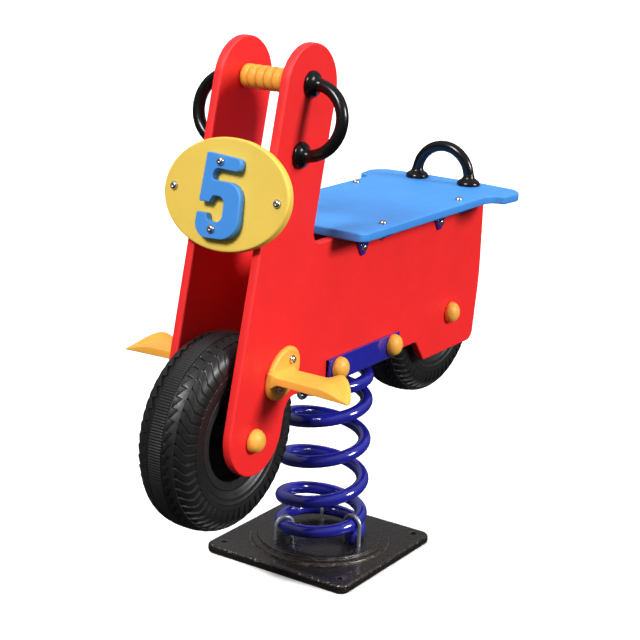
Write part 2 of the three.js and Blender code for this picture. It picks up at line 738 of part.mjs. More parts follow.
function gripRoller() {
  const pitch = 2 * GRIP_HALF / RING_COUNT;
  const profile = [[GRIP_BORE, -GRIP_HALF]];
  for (let k = 0; k < RING_COUNT; k += 1) {
    const from = -GRIP_HALF + k * pitch;
    profile.push([RING_GROOVE, from]);
    profile.push([RING_RADIUS, from + pitch * RING_EASE]);
    profile.push([RING_RADIUS, from + pitch * (1 - RING_EASE)]);
  }
  profile.push([RING_GROOVE, GRIP_HALF], [GRIP_BORE, GRIP_HALF], profile[0]);
  return zToX(lathe(profile, GRIP_SIDES)).translate(0, ...GRIP_AXIS);
}

// ---------- footrests ----------
// A peg is drawn from the panel: u outboard, v towards the rider's back, w up from the tread.
// Its outer edge slants back from the front corner and carries a lip.
function pegRear(u) {
  const t = THREE.MathUtils.clamp((u - PEG_ROUND_FROM) / (PEG_REACH - PEG_ROUND_FROM), 0, 1);
  return PEG_HALF * (2 * (1 - t ** 2) ** 0.7 - 1);
}

const pegFloor = (u) => THREE.MathUtils.lerp(-PEG_DEEP, -PEG_TIP_DEEP, u / PEG_REACH);

function pegFrontEdge(u) {
  const t = Math.max(0, u - PEG_DROP_FROM) / (PEG_REACH - PEG_DROP_FROM);
  return -PEG_TIP_DEEP * t ** 1.6;
}

function lipCrest(u) {
  if (u < LIP_PEAK) {
    return LIP_HIGH * THREE.MathUtils.smoothstep(u, LIP_FROM, LIP_PEAK);
  }
  const t = (u - LIP_PEAK) / (PEG_REACH - LIP_PEAK);
  return LIP_HIGH - (LIP_HIGH + PEG_TIP_DEEP) * t ** 1.7;
}

// One closed section of the peg, as points (u, v, w).
function pegSection(u) {
  const flare = PEG_FLARE * Math.max(0, 1 - Math.max(0, u - REST_FLANGE) / PEG_FLARE_LONG) ** 2;
  const front = -PEG_HALF - flare;
  const rear = pegRear(u) + flare;
  const ring = [];
  for (let k = 0; k < PEG_ACROSS; k += 1) {
    const v = front + (rear - front) * k / (PEG_ACROSS - 1);
    const rise = THREE.MathUtils.smoothstep(v, rear - LIP_WIDE, rear);
    const w = THREE.MathUtils.lerp(pegFrontEdge(u), lipCrest(u), rise);
    ring.push(new THREE.Vector3(u, v, w + flare));
  }
  ring.push(new THREE.Vector3(u, rear, pegFloor(u) - flare));
  ring.push(new THREE.Vector3(u, front, pegFloor(u) - flare));
  return ring;
}

// Joins closed sections of equal point count, with flat ends.
function loft(rings) {
  const count = rings[0].length;
  const geometry = new THREE.BufferGeometry().setFromPoints(rings.flat());
  const index = [];
  for (let i = 1; i < rings.length; i += 1) {
    for (let k = 0; k < count; k += 1) {
      const a = (i - 1) * count + k;
      const b = (i - 1) * count + (k + 1) % count;
      index.push(a, b, b + count, a, b + count, a + count);
    }
  }
  const last = (rings.length - 1) * count;
  for (let k = 1; k < count - 1; k += 1) {
    index.push(0, k + 1, k);
    index.push(last, last + k, last + k + 1);
  }
  return geometry.setIndex(index);
}

function footrest(side) {
  const [cy, cz] = REST_CENTRE;
  const oval = alongX(ellipseShape(REST_LONG, REST_SHORT, OVAL_SIDES), 0, REST_FLANGE, PANEL_ROUND)
    .rotateX(THREE.MathUtils.degToRad(REST_TILT_DEG)).translate(0, cy, cz);
  const peg = loft(PEG_STATIONS.map(pegSection)).translate(0, PEG_Y, PEG_TOP);
  const holes = restScrews.map((at) =>
    xBar(SCREW_SHANK + HOLE_GAP, -CUT, REST_FLANGE + CUT, at, SCREW_SIDES));
  const wells = restScrews.map((at) =>
    xBar(SCREW_WASHER + 1, REST_FLANGE, REST_FLANGE + 2 * PEG_FLARE_LONG, at));
  const body = without(union([toSolid(oval), without(toSolid(peg), wells)]), holes);
  const turn = new THREE.Matrix4().makeScale(side, 1, 1);
  turn.setPosition(side * (PANEL_OUT + GAP), 0, 0);
  return placed(body, turn);
}

// ---------- number sign ----------
// Signs are drawn in their own plane: u is +X, v runs up the slope, w points forward.
const signPlane = new THREE.Matrix4().makeBasis(
  X_AXIS,
  new THREE.Vector3(0, forkAxis.x, forkAxis.y),
  new THREE.Vector3(0, forkFront.x, forkFront.y),
).setPosition(0, ...SIGN_CENTRE);

const figureScrews = [[-6.5, 48], [-5, -54]];

function signBoard() {
  const board = toSolid(slab(ellipseShape(SIGN_HALF_X, SIGN_HALF_S, SIGN_SIDES), SIGN_THICK, PANEL_ROUND));
  const bolts = [-1, 1].map((end) =>
    zBar(SCREW_SHANK + HOLE_GAP, -CUT, SIGN_THICK + CUT, end * SIGN_BOLT_X, 0));
  const pilots = figureScrews.map(([u, v]) =>
    zBar(SCREW_SHANK + HOLE_GAP, SIGN_THICK - SCREW_DEPTH, SIGN_THICK + CUT, u, v));
  return placed(without(board, [...bolts, ...pilots]).translate([0, 0, -SIGN_THICK]), signPlane);
}

// The figure 5: a top bar, a stem and an open bowl.
function signFigure() {
  const outline = roundedShape([
    [-34, 60, 3, 2],
    [32, 56, 9, 3],
    [28, 36, 8, 3],
    [-19, 37.5, 9, 3],
    [-16, 19.5, 4, 2],
    [36, 19, 26, 5],
    [44, -66, 32, 6],
    [-38, -70, 24, 5],
    [-37, -31, 3, 2],
    [-19, -31, 4, 2],
    [-14, -43, 8, 2],
    [11, -43, 12, 3],
    [9, -4, 11, 3],
    [-12, -4, 6, 2],
    [-17, -15, 3, 2],
    [-36, -15, 3, 2],
  ]);
  const figure = toSolid(slab(outline, FIGURE_THICK, FIGURE_ROUND));
  const holes = figureScrews.map(([u, v]) =>
    zBar(SCREW_SHANK + HOLE_GAP, -CUT, FIGURE_THICK + CUT, u, v));
  return placed(without(figure, holes).translate([0, 0, GAP]), signPlane);
}

function signScrew(u, v, above, shank, nutAt = 0) {
  return domeScrew(shank, nutAt).translate(u, v, above).applyMatrix4(signPlane);
}

// ---------- assembly ----------
const rocker = new THREE.Group();
rocker.name = 'spring_rocker';

function addNode(name, shape, look) {
  const geometry = shape.isBufferGeometry ? toGeometry(toSolid(shape)) : toGeometry(shape);
  const mesh = new THREE.Mesh(geometry, MATERIALS[look]);
  mesh.name = name;
  rocker.add(mesh);
}

const SIDES = [['left', 1], ['right', -1]];

addNode('base_plate', basePlate(), 'blackIron');
for (const [name, angle] of BASE_HOOKS) {
  addNode(`coil_hook_${name}`, baseHook(angle), 'zinc');
}
['bottom', 'lower', 'middle', 'upper', 'neck', 'top'].forEach((name, index) => {
  addNode(`spring_${name}`, coilPiece(index), 'blueSteel');
});

addNode('saddle_channel', saddleChannel(), 'blueSteel');
for (const [name, turns] of TOP_HOOK_TURNS) {
  addNode(`saddle_hook_${name}`, topHook(turns), 'zinc');
}

for (const [sideName, side] of SIDES) {
  addNode(`side_panel_${sideName}`, sidePanel(side), 'redSheet');
  addNode(`fork_handle_${sideName}`, forkHandle(side), 'blackPlastic');
  addNode(`footrest_${sideName}`, footrest(side), 'orangePlastic');
  addNode(`sign_bracket_${sideName}`, signBracket(side), 'blueSteel');
  addNode(`sign_bolt_${sideName}`, signScrew(
    side * SIGN_BOLT_X, 0, GAP, BOLT_LONG, SIGN_THICK + BRACKET_THICK + 3 * GAP), 'stainless');
}

const rodEnd = PANEL_OUT + CAP_BORE - CUT;
const boltEnd = CHANNEL_OUT + CAP_BORE - CUT;
for (const [name, at] of boltPositions) {
  addNode(`saddle_bolt_${name}`, xBar(BOLT_RADIUS, -boltEnd, boltEnd, at), 'zinc');
}
for (const [name, at] of [['front', FRONT_AXLE], ['rear', REAR_AXLE]]) {
  addNode(`${name}_axle`, xBar(AXLE_RADIUS, -rodEnd, rodEnd, at), 'zinc');
  addNode(`${name}_tyre`, tyre(at), 'tyreRubber');
  addNode(`${name}_rim`, rim(at), 'rimPaint');
}
for (const [sideName, side] of SIDES) {
  const onPanel = side * (PANEL_OUT + GAP);
  const onChannel = side * (CHANNEL_OUT + GAP);
  addNode(`front_axle_cap_${sideName}`, domeCap(side).translate(onPanel, ...FRONT_AXLE), 'orangePlastic');
  addNode(`rear_axle_cap_${sideName}`, domeCap(side).translate(onPanel, ...REAR_AXLE), 'orangePlastic');
  for (const [name, at] of boltPositions) {
    addNode(`saddle_cap_${name}_${sideName}`, domeCap(side).translate(onChannel, ...at), 'orangePlastic');
  }
}

addNode('seat_board', seatBoard(), 'blueSheet');
addNode('seat_handle', seatHandle(), 'blackPlastic');
for (const [sideName, side] of SIDES) {
  for (const [name, y] of Object.entries(SEAT_BOLT_Y)) {
    addNode(`seat_bracket_${name}_${sideName}`, seatBracket(side, y), 'blueSteel');
    const bolt = domeScrew(BOLT_LONG, SEAT_THICK + BRACKET_THICK + 3 * GAP);
    bolt.translate(side * SEAT_BOLT_X, y, SEAT_TOP + GAP);
    addNode(`seat_bolt_${name}_${sideName}`, bolt, 'stainless');
  }
  restScrews.forEach((at, index) => {
    const screw = zToX(domeScrew(REST_FLANGE + GAP + STUD_DEPTH));
    screw.translate(PANEL_OUT + REST_FLANGE + 2 * GAP, ...at);
    const turned = side > 0 ? screw : screw.scale(-1, 1, 1);
    addNode(`footrest_screw_${['low', 'high'][index]}_${sideName}`, turned, 'stainless');
  });
}

addNode('grip_bar', xBar(BAR_RADIUS, -BAR_END, BAR_END, GRIP_AXIS), 'zinc');
addNode('grip_roller', gripRoller(), 'orangePlastic');

addNode('sign_board', signBoard(), 'yellowSheet');
addNode('sign_figure', signFigure(), 'blueSheet');
figureScrews.forEach(([u, v], index) => {
  const screw = signScrew(u, v, FIGURE_THICK + 2 * GAP, FIGURE_THICK + STUD_DEPTH);
  addNode(`sign_figure_screw_${['high', 'low'][index]}`, screw, 'stainless');
});

export default rocker;
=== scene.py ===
"""Looks of a playground spring rocker shaped like a trials motorcycle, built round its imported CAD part.

Metres, +Z up, in the CAD frame: the rider faces -Y, so +X is the rocker's left-hand side.
"""
import json
import math

import bmesh
import bpy
from mathutils import Matrix, Vector


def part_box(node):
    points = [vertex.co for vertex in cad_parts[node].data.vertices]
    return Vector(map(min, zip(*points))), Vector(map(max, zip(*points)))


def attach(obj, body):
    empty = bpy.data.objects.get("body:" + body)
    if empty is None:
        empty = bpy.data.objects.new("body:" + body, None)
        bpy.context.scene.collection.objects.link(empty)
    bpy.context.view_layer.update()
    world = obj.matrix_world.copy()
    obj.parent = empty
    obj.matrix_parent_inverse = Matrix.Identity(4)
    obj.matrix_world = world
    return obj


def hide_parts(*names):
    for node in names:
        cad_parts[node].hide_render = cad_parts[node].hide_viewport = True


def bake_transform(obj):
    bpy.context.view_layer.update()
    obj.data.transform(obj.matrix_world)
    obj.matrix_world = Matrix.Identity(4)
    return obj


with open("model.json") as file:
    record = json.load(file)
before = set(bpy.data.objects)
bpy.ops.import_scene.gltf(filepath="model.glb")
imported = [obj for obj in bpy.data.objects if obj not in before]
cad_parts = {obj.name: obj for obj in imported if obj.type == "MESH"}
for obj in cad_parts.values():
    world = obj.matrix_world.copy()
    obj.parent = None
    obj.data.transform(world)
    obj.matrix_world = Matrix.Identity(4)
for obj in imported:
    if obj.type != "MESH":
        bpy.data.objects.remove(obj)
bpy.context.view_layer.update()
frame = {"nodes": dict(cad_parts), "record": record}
NODES = frame["nodes"]
RECORD = frame["record"]
SLOT_OF = {part["node"]: part["material_slot"] for part in RECORD["subparts"]}
BODY_OF = {node: body for body, nodes in RECORD["behaviour"]["bodies"].items() for node in nodes}
SIDES = (("left", 1), ("right", -1))
ENDS = ("front", "rear")
SQUARE = ((-1, -1), (1, -1), (1, 1), (-1, 1))


def placed(name, data):
    """A new object with this data, in the scene."""
    made = bpy.data.objects.new(name, data)
    bpy.context.collection.objects.link(made)
    return made


# ---------- camera ----------
CAMERA_AT = (1.44643, -2.26101, 1.19091)
CAMERA_AZIMUTH = 32.943
CAMERA_ELEVATION = 16.103
CAMERA_ROLL = 2.471
LENS_MM = 92.73


def make_camera():
    azimuth, elevation = math.radians(CAMERA_AZIMUTH), math.radians(CAMERA_ELEVATION)
    level = math.cos(elevation)
    back = Vector((math.sin(azimuth) * level, -math.cos(azimuth) * level, math.sin(elevation)))
    right = Vector((math.cos(azimuth), math.sin(azimuth), 0))
    turn = Matrix((right, back.cross(right), back)).transposed()
    turn = turn @ Matrix.Rotation(math.radians(CAMERA_ROLL), 3, "Z")
    data = bpy.data.cameras.new("camera")
    data.lens = LENS_MM
    data.clip_end = 100
    camera = placed("camera", data)
    camera.matrix_world = Matrix.Translation(CAMERA_AT) @ turn.to_4x4()
    bpy.context.scene.camera = camera


make_camera()

# ---------- sizes shared with the CAD, in metres ----------
GAP = 0.0003
ARC_STEP = math.radians(5)
AXIS = 0.0001  # radius at which a turned shape closes on its axis
PANEL_OUT = 0.069  # x of a side panel's outer face
CHANNEL_THICK = 0.006
REST_FLANGE = 0.009  # thickness of a footrest's flange
NUT_HIGH = 0.005
NUT_CORNER = 0.0006
NUT_EASE = 0.0005

LOBE = Vector((-0.301, 0.313))  # y, z of the fork's lower round
CROWN = Vector((-0.1825, 0.8345))  # y, z of the fork's upper round
FORK_RADIUS = 0.069
FORK_AXIS = (CROWN - LOBE).normalized()
FORK_FRONT = Vector((-FORK_AXIS.y, FORK_AXIS.x))
SHEET_THICK = 0.015
SHEET_EASE = 0.0028  # rounding of the plastic sheets' edges

COIL_RADIUS = 0.07
WIRE_RADIUS = 0.011
COIL_START = math.radians(-20)
COIL_TURNS = 5.725
PITCH_STOPS = ((0, 0.005), (1, 0.041), (1.8, 0.073), (3.925, 0.073), (4.725, 0.041), (5.725, 0.005))
COIL_CUTS = (0.03, 1.15, 2.05, 2.95, 3.85, 4.6, COIL_TURNS)
SPRING_NODES = ("bottom", "lower", "middle", "upper", "neck", "top")

HOOK_REACH = 0.0157
ROD_RADIUS = 0.0035
BASE_HOOKS = {"left": 355, "rear": 120, "front": 240}
TOP_HOOK_TURNS = {"front": 4.8056, "rear": 5.3056}

HANDLE_SPAN = 0.108
HANDLE_TUBE = 0.0098
HANDLE_RISE = 0.011

SIGN_CENTRE = Vector((-0.3062, 0.6797))
SIGN_BOLT_X = 0.096
FIGURE_THICK = 0.014
FIGURE_SCREWS = {"high": (-0.0065, 0.048), "low": (-0.005, -0.054)}


# ---------- mesh building ----------
def mesh_object(name, shape):
    points, faces = shape
    mesh = bpy.data.meshes.new(name)
    mesh.from_pydata([tuple(p) for p in points], [], faces)
    return placed(name, mesh)


def add_piece(name, shape, node, crease=60, ride=True):
    """An object from (points, faces) that stands for a CAD node and takes its finish and body."""
    piece = mesh_object(name, shape)
    mesh = piece.data
    clean = bmesh.new()
    clean.from_mesh(mesh)
    bmesh.ops.recalc_face_normals(clean, faces=clean.faces)
    clean.to_mesh(mesh)
    clean.free()
    mesh.materials.append(LOOKS[SLOT_OF[node]])
    smooth_by_angle(mesh, crease)
    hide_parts(node)
    if ride:
        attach(piece, BODY_OF[node])
    return piece


def smooth_by_angle(mesh, crease):
    mesh.shade_smooth()
    mesh.set_sharp_from_angle(angle=math.radians(crease))


def joined(*shapes):
    """Several (points, faces) shapes as one."""
    points, faces = [], []
    for some_points, some_faces in shapes:
        faces += [tuple(i + len(points) for i in face) for face in some_faces]
        points += list(some_points)
    return points, faces


def moved(shape, matrix):
    points, faces = shape
    return [matrix @ Vector(p) for p in points], faces


def skin(rings, closed=False):
    """Faces between rings of equal point count, with a lid on both ends unless closed."""
    count = len(rings[0])
    points = [p for ring in rings for p in ring]
    faces = []
    spans = len(rings) if closed else len(rings) - 1
    for i in range(spans):
        a, b = i * count, (i + 1) % len(rings) * count
        for k in range(count):
            n = (k + 1) % count
            faces.append((a + k, a + n, b + n, b + k))
    if not closed:
        faces.append(tuple(range(count)))
        faces.append(tuple(range(len(points) - count, len(points))))
    return points, faces


SAME_POINT = 0.00005  # an outline drops a point this near to the one before


def arc_points(centre, start, sweep):
    steps = max(1, math.ceil(abs(sweep) / ARC_STEP))
    turned = []
    for k in range(steps + 1):
        angle = sweep * k / steps
        c, s = math.cos(angle), math.sin(angle)
        turned.append(centre + Vector((c * start.x - s * start.y, s * start.x + c * start.y)))
    return turned


def rounded(corners):
    """A closed outline whose corners (u, v, radius) are rounded by arcs."""
    outline = []
    for i, (u, v, radius) in enumerate(corners):
        corner = Vector((u, v))
        before = (Vector(corners[i - 1][:2]) - corner).normalized()
        after = (Vector(corners[(i + 1) % len(corners)][:2]) - corner).normalized()
        half = math.acos(max(-1, min(1, before.dot(after)))) / 2
        centre = corner + (before + after).normalized() * radius / math.sin(half)
        start = corner + before * radius / math.tan(half) - centre
        end = corner + after * radius / math.tan(half) - centre
        sweep = math.atan2(start.x * end.y - start.y * end.x, start.dot(end))
        outline += arc_points(centre, start, sweep)
    return [p for i, p in enumerate(outline) if (p - outline[i - 1]).length > SAME_POINT]


def ellipse(half_u, half_v, sides):
    turns = [2 * math.pi * k / sides for k in range(sides)]
    return [Vector((half_u * math.cos(t), half_v * math.sin(t))) for t in turns]


LEAST_MITRE = 0.5  # a corner is drawn in by at most twice the depth


def inset(outline, depth):
    """The outline drawn in by depth; its points run anticlockwise or clockwise."""
    area = sum(p.x * outline[i - 1].y - p.y * outline[i - 1].x for i, p in enumerate(outline))
    side = 1 if area < 0 else -1
    drawn = []
    for i, p in enumerate(outline):
        before = (p - outline[i - 1]).normalized()
        after = (outline[(i + 1) % len(outline)] - p).normalized()
        normal = Vector((-before.y - after.y, before.x + after.x)).normalized() * side
        reach = max(LEAST_MITRE, normal.dot(Vector((-before.y, before.x)) * side))
        drawn.append(p + normal * depth / reach)
    return drawn


SUPPORT_RING = 1.7  # how far a slab's support ring is drawn in, over its ease


def slab(outline, low, high, ease, steps=4):
    """An outline extruded from low to high, its rims rounded, with a support ring round each flat."""
    rings = []
    profile = [(SUPPORT_RING * ease, 0)]
    for k in range(steps + 1):
        turn = math.pi / 2 * k / steps
        profile.append((ease * (1 - math.sin(turn)), ease * (1 - math.cos(turn))))
    for depth, rise in profile:
        rings.append([Vector((p.x, p.y, low + rise)) for p in inset(outline, depth)])
    for depth, rise in reversed(profile):
        rings.append([Vector((p.x, p.y, high - rise)) for p in inset(outline, depth)])
    return skin(rings)


def lathe(profile, sides, closed=False):
    """Turns (radius, height) points about Z. An open profile starts and ends near the axis."""
    rings = []
    for radius, height in profile:
        rings.append([Vector((radius * p.x, radius * p.y, height)) for p in ellipse(1, 1, sides)])
    return skin(rings, closed=closed)


def corner_curve(start, corner, end, steps):
    """The points of a curve from start to end, pulled towards a corner."""
    points = []
    for k in range(steps + 1):
        t = k / steps
        points.append(start * (1 - t) ** 2 + corner * 2 * t * (1 - t) + end * t * t)
    return points


EASED_SHARE = 0.49  # of a side, the most that one corner takes


def eased(profile, ease, steps):
    """An open profile of (radius, height) points with its inner corners rounded."""
    path = [Vector(profile[0])]
    for i in range(1, len(profile) - 1):
        before, corner, after = (Vector(profile[k]) for k in (i - 1, i, i + 1))
        side = min((before - corner).length, (after - corner).length)
        reach = min(ease, side * EASED_SHARE)
        start = corner + (before - corner).normalized() * reach
        end = corner + (after - corner).normalized() * reach
        path += corner_curve(start, corner, end, steps)
    path.append(Vector(profile[-1]))
    return [tuple(p) for p in path]


def sweep(path, radius, sides):
    """A round bar along a list of points."""
    rings = []
    side = None
    for i, p in enumerate(path):
        ahead = (path[min(i + 1, len(path) - 1)] - path[max(i - 1, 0)]).normalized()
        if side is None:
            side = ahead.orthogonal().normalized()
        side = (side - ahead * side.dot(ahead)).normalized()
        other = ahead.cross(side)
        rings.append([p + side * q.x + other * q.y for q in ellipse(radius, radius, sides)])
    return skin(rings)


def axes(u, v, w, at=(0, 0, 0)):
    """The matrix that takes local u, v, w to these directions, from a point."""
    turn = Matrix((Vector(u), Vector(v), Vector(w))).transposed()
    return Matrix.Translation(at) @ turn.to_4x4()


SIDE_VIEW = axes((0, 1, 0), (0, 0, 1), (1, 0, 0))
FRONT_VIEW = axes((1, 0, 0), (0, 0, 1), (0, -1, 0))
SIGN_PLANE = axes(
    (1, 0, 0), (0, FORK_AXIS.x, FORK_AXIS.y), (0, FORK_FRONT.x, FORK_FRONT.y), (0, *SIGN_CENTRE))


def middle(node):
    low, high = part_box(node)
    return (Vector(low) + Vector(high)) / 2


def outward(side, at):
    """Local Z points out of the rocker's side, from a point."""
    return axes((0, side, 0), (0, 0, 1), (side, 0, 0), at)


def polar(radius, angle, height):
    return Vector((radius * math.cos(angle), radius * math.sin(angle), height))


def smooth(value, low, high):
    """Rises from 0 at low to 1 at high, level at both ends."""
    t = max(0, min(1, (value - low) / (high - low)))
    return t * t * (3 - 2 * t)


def hex_nut(radius, low):
    corners = [(p.x, p.y, NUT_CORNER) for p in ellipse(radius, radius, 6)]
    return slab(rounded(corners), low, low + NUT_HIGH, NUT_EASE, 2)


# ---------- materials ----------
MAP_RANGE = ("From Min", "From Max", "To Min", "To Max")


class Finish:
    """A Principled material built up in layers, all in object coordinates."""

    def __init__(self, name, colour, roughness, metallic=0):
        self.material = bpy.data.materials.new(name)
        self.material.use_nodes = True
        self.tree = self.material.node_tree
        self.shader = self.tree.nodes["Principled BSDF"]
        self.shader.inputs["Metallic"].default_value = metallic
        self.where = self.node("ShaderNodeTexCoord").outputs["Object"]
        self.colour = self.node("ShaderNodeRGB").outputs[0]
        self.colour.default_value = (*colour, 1)
        self.roughness = self.node("ShaderNodeValue").outputs[0]
        self.roughness.default_value = roughness
        self.normal = None

    def node(self, kind, **values):
        made = self.tree.nodes.new(kind)
        for key, value in values.items():
            setattr(made, key, value)
        return made

    def link(self, source, target):
        self.tree.links.new(source, target)

    def noise(self, scale, detail=3, stretch=(1, 1, 1), distortion=0):
        place = self.node("ShaderNodeMapping")
        place.inputs["Scale"].default_value = stretch
        self.link(self.where, place.inputs["Vector"])
        made = self.node("ShaderNodeTexNoise")
        made.inputs["Scale"].default_value = scale
        made.inputs["Detail"].default_value = detail
        made.inputs["Distortion"].default_value = distortion
        self.link(place.outputs["Vector"], made.inputs["Vector"])
        return made.outputs["Fac"]

    def cells(self, scale, feature="F1"):
        made = self.node("ShaderNodeTexVoronoi", feature=feature)
        made.inputs["Scale"].default_value = scale
        self.link(self.where, made.inputs["Vector"])
        return made.outputs["Distance"]

    def ramp(self, value, low, high):
        made = self.node("ShaderNodeMapRange")
        for key, number in zip(MAP_RANGE, (low, high, 0, 1)):
            made.inputs[key].default_value = number
        self.link(value, made.inputs["Value"])
        return made.outputs["Result"]

    def maths(self, operation, a, b):
        made = self.node("ShaderNodeMath", operation=operation)
        for socket, value in zip(made.inputs, (a, b)):
            if isinstance(value, (int, float)):
                socket.default_value = value
            else:
                self.link(value, socket)
        return made.outputs[0]

    def edges(self, width):
        """1 on convex and concave edges within width, 0 on flats."""
        soft = self.node("ShaderNodeBevel", samples=4)
        soft.inputs["Radius"].default_value = width
        plain = self.node("ShaderNodeNewGeometry")
        same = self.node("ShaderNodeVectorMath", operation="DOT_PRODUCT")
        self.link(soft.outputs["Normal"], same.inputs[0])
        self.link(plain.outputs["Normal"], same.inputs[1])
        return self.ramp(same.outputs["Value"], 1, 0.85)

    def tint(self, mask, colour, amount):
        """Blends the colour towards another where the mask is 1."""
        mix = self.node("ShaderNodeMix", data_type="RGBA")
        self.link(self.maths("MULTIPLY", mask, amount), mix.inputs["Factor"])
        self.link(self.colour, mix.inputs["A"])
        mix.inputs["B"].default_value = (*colour, 1)
        self.colour = mix.outputs["Result"]

    def roughen(self, mask, amount):
        self.roughness = self.maths("ADD", self.roughness, self.maths("MULTIPLY", mask, amount))

    def bump(self, height, distance, strength):
        made = self.node("ShaderNodeBump")
        made.inputs["Distance"].default_value = distance
        made.inputs["Strength"].default_value = strength
        self.link(height, made.inputs["Height"])
        if self.normal is not None:
            self.link(self.normal, made.inputs["Normal"])
        self.normal = made.outputs["Normal"]

    def set(self, **inputs):
        for key, value in inputs.items():
            self.shader.inputs[key.replace("_", " ")].default_value = value

    def done(self):
        self.link(self.colour, self.shader.inputs["Base Color"])
        self.link(self.roughness, self.shader.inputs["Roughness"])
        self.link(self.normal, self.shader.inputs["Normal"])
        return self.material


def shade(colour, factor):
    return tuple(min(1, c * factor) for c in colour)


def sheet_plastic(name, colour):
    """Through-coloured polyethylene sheet: fine cast grain, faint scuffs, paler machined edges."""
    finish = Finish(name, colour, 0.42)
    finish.tint(finish.ramp(finish.noise(14), 0.35, 0.7), shade(colour, 0.86), 0.5)
    finish.tint(finish.ramp(finish.noise(420, 2), 0.55, 0.75), shade(colour, 1.12), 0.35)
    scuffs = finish.ramp(finish.noise(9, 6, (1, 6, 22), 0.6), 0.7, 0.8)
    finish.tint(scuffs, tuple(0.85 * c + 0.06 for c in colour), 0.25)
    finish.tint(finish.edges(0.003), tuple(0.85 * c + 0.13 for c in colour), 0.4)
    finish.roughen(finish.noise(60, 4), 0.16)
    finish.roughen(scuffs, 0.15)
    finish.bump(finish.noise(700, 2), 0.0004, 0.28)
    finish.bump(finish.noise(45, 2), 0.0008, 0.08)
    finish.set(Specular_IOR_Level=0.45)
    return finish.done()


def moulded_orange():
    """Satin moulded plastic, a little translucent and uneven in colour."""
    finish = Finish("moulded_orange", (0.92, 0.46, 0.07), 0.34)
    finish.tint(finish.ramp(finish.noise(25), 0.3, 0.7), (0.92, 0.4, 0.045), 0.5)
    finish.tint(finish.edges(0.002), (0.96, 0.55, 0.13), 0.4)
    finish.tint(finish.ramp(finish.noise(260, 5), 0.68, 0.78), (0.6, 0.22, 0.02), 0.3)
    finish.roughen(finish.noise(90, 4), 0.22)
    finish.bump(finish.noise(320, 2), 0.0003, 0.12)
    finish.bump(finish.noise(35, 1), 0.0012, 0.1)
    finish.set(Subsurface_Weight=0.15, Subsurface_Scale=0.006, Specular_IOR_Level=0.4)
    return finish.done()


def moulded_black():
    finish = Finish("moulded_black", (0.004, 0.004, 0.0045), 0.15)
    finish.tint(finish.edges(0.001), (0.02, 0.02, 0.021), 0.4)
    dust = finish.ramp(finish.noise(180, 6), 0.62, 0.74)
    finish.tint(dust, (0.02, 0.02, 0.021), 0.25)
    finish.roughen(finish.noise(70, 5), 0.1)
    finish.bump(finish.noise(500, 2), 0.0001, 0.08)
    finish.bump(finish.noise(60, 1), 0.0005, 0.08)
    finish.set(Specular_IOR_Level=0.35)
    return finish.done()


def powder_blue():
    """Gloss powder coat with its slight orange peel."""
    colour = (0.016, 0.018, 0.36)
    finish = Finish("powder_blue", colour, 0.1)
    finish.tint(finish.ramp(finish.noise(30), 0.35, 0.7), (0.011, 0.011, 0.25), 0.6)
    finish.tint(finish.edges(0.001), (0.08, 0.09, 0.5), 0.3)
    chips = finish.ramp(finish.noise(380, 3), 0.73, 0.76)
    finish.tint(chips, (0.09, 0.09, 0.12), 0.6)
    finish.roughen(finish.noise(120, 4), 0.08)
    finish.bump(finish.noise(180, 1), 0.0003, 0.1)
    finish.set(Coat_Weight=1, Coat_Roughness=0.04)
    return finish.done()


def hammered_iron():
    """Cast iron under glossy black hammered paint, rubbed brown on its edges."""
    finish = Finish("hammered_iron", (0.006, 0.005, 0.0046), 0.16)
    finish.tint(finish.ramp(finish.noise(480, 4), 0.58, 0.68), (0.055, 0.04, 0.032), 0.5)
    finish.tint(finish.ramp(finish.noise(22, 4), 0.45, 0.75), (0.017, 0.011, 0.009), 0.8)
    wear = finish.maths("MULTIPLY", finish.edges(0.004), finish.ramp(finish.noise(140, 5), 0.4, 0.62))
    finish.tint(wear, (0.24, 0.17, 0.13), 0.6)
    finish.roughen(finish.noise(200, 4), 0.34)
    finish.bump(finish.cells(230, "SMOOTH_F1"), 0.0018, 0.9)
    finish.bump(finish.noise(90, 4), 0.004, 0.7)
    finish.set(Coat_Weight=0.5, Coat_Roughness=0.14)
    return finish.done()


def zinc_plate():
    finish = Finish("zinc_plate", (0.68, 0.69, 0.72), 0.3, 0.85)
    finish.tint(finish.ramp(finish.cells(260), 0.1, 0.5), (0.3, 0.31, 0.33), 0.6)
    finish.tint(finish.ramp(finish.noise(160, 5), 0.6, 0.75), (0.2, 0.19, 0.18), 0.6)
    finish.roughen(finish.noise(400, 4), 0.3)
    finish.bump(finish.noise(600, 3, (1, 1, 5)), 0.0003, 0.25)
    return finish.done()


def polished_steel():
    finish = Finish("polished_steel", (0.66, 0.66, 0.67), 0.12, 1)
    finish.tint(finish.ramp(finish.noise(300, 5), 0.55, 0.75), (0.42, 0.4, 0.38), 0.5)
    finish.tint(finish.edges(0.0006), (0.85, 0.85, 0.86), 0.6)
    finish.roughen(finish.noise(700, 4), 0.2)
    finish.bump(finish.noise(200, 2), 0.0001, 0.1)
    return finish.done()


def tyre_rubber():
    """Black rubber with a soft shine, a little dusty and browned."""
    finish = Finish("tyre_rubber", (0.008, 0.008, 0.0085), 0.27)
    finish.tint(finish.ramp(finish.noise(40, 5), 0.45, 0.75), (0.013, 0.0125, 0.011), 0.8)
    finish.tint(finish.edges(0.0014), (0.03, 0.03, 0.031), 0.5)
    finish.tint(finish.ramp(finish.noise(300, 6), 0.62, 0.74), (0.03, 0.028, 0.025), 0.35)
    finish.roughen(finish.noise(110, 5), 0.3)
    finish.bump(finish.noise(650, 3), 0.0003, 0.25)
    finish.bump(finish.noise(90, 2), 0.0008, 0.2)
    finish.set(Specular_IOR_Level=0.5)
    return finish.done()


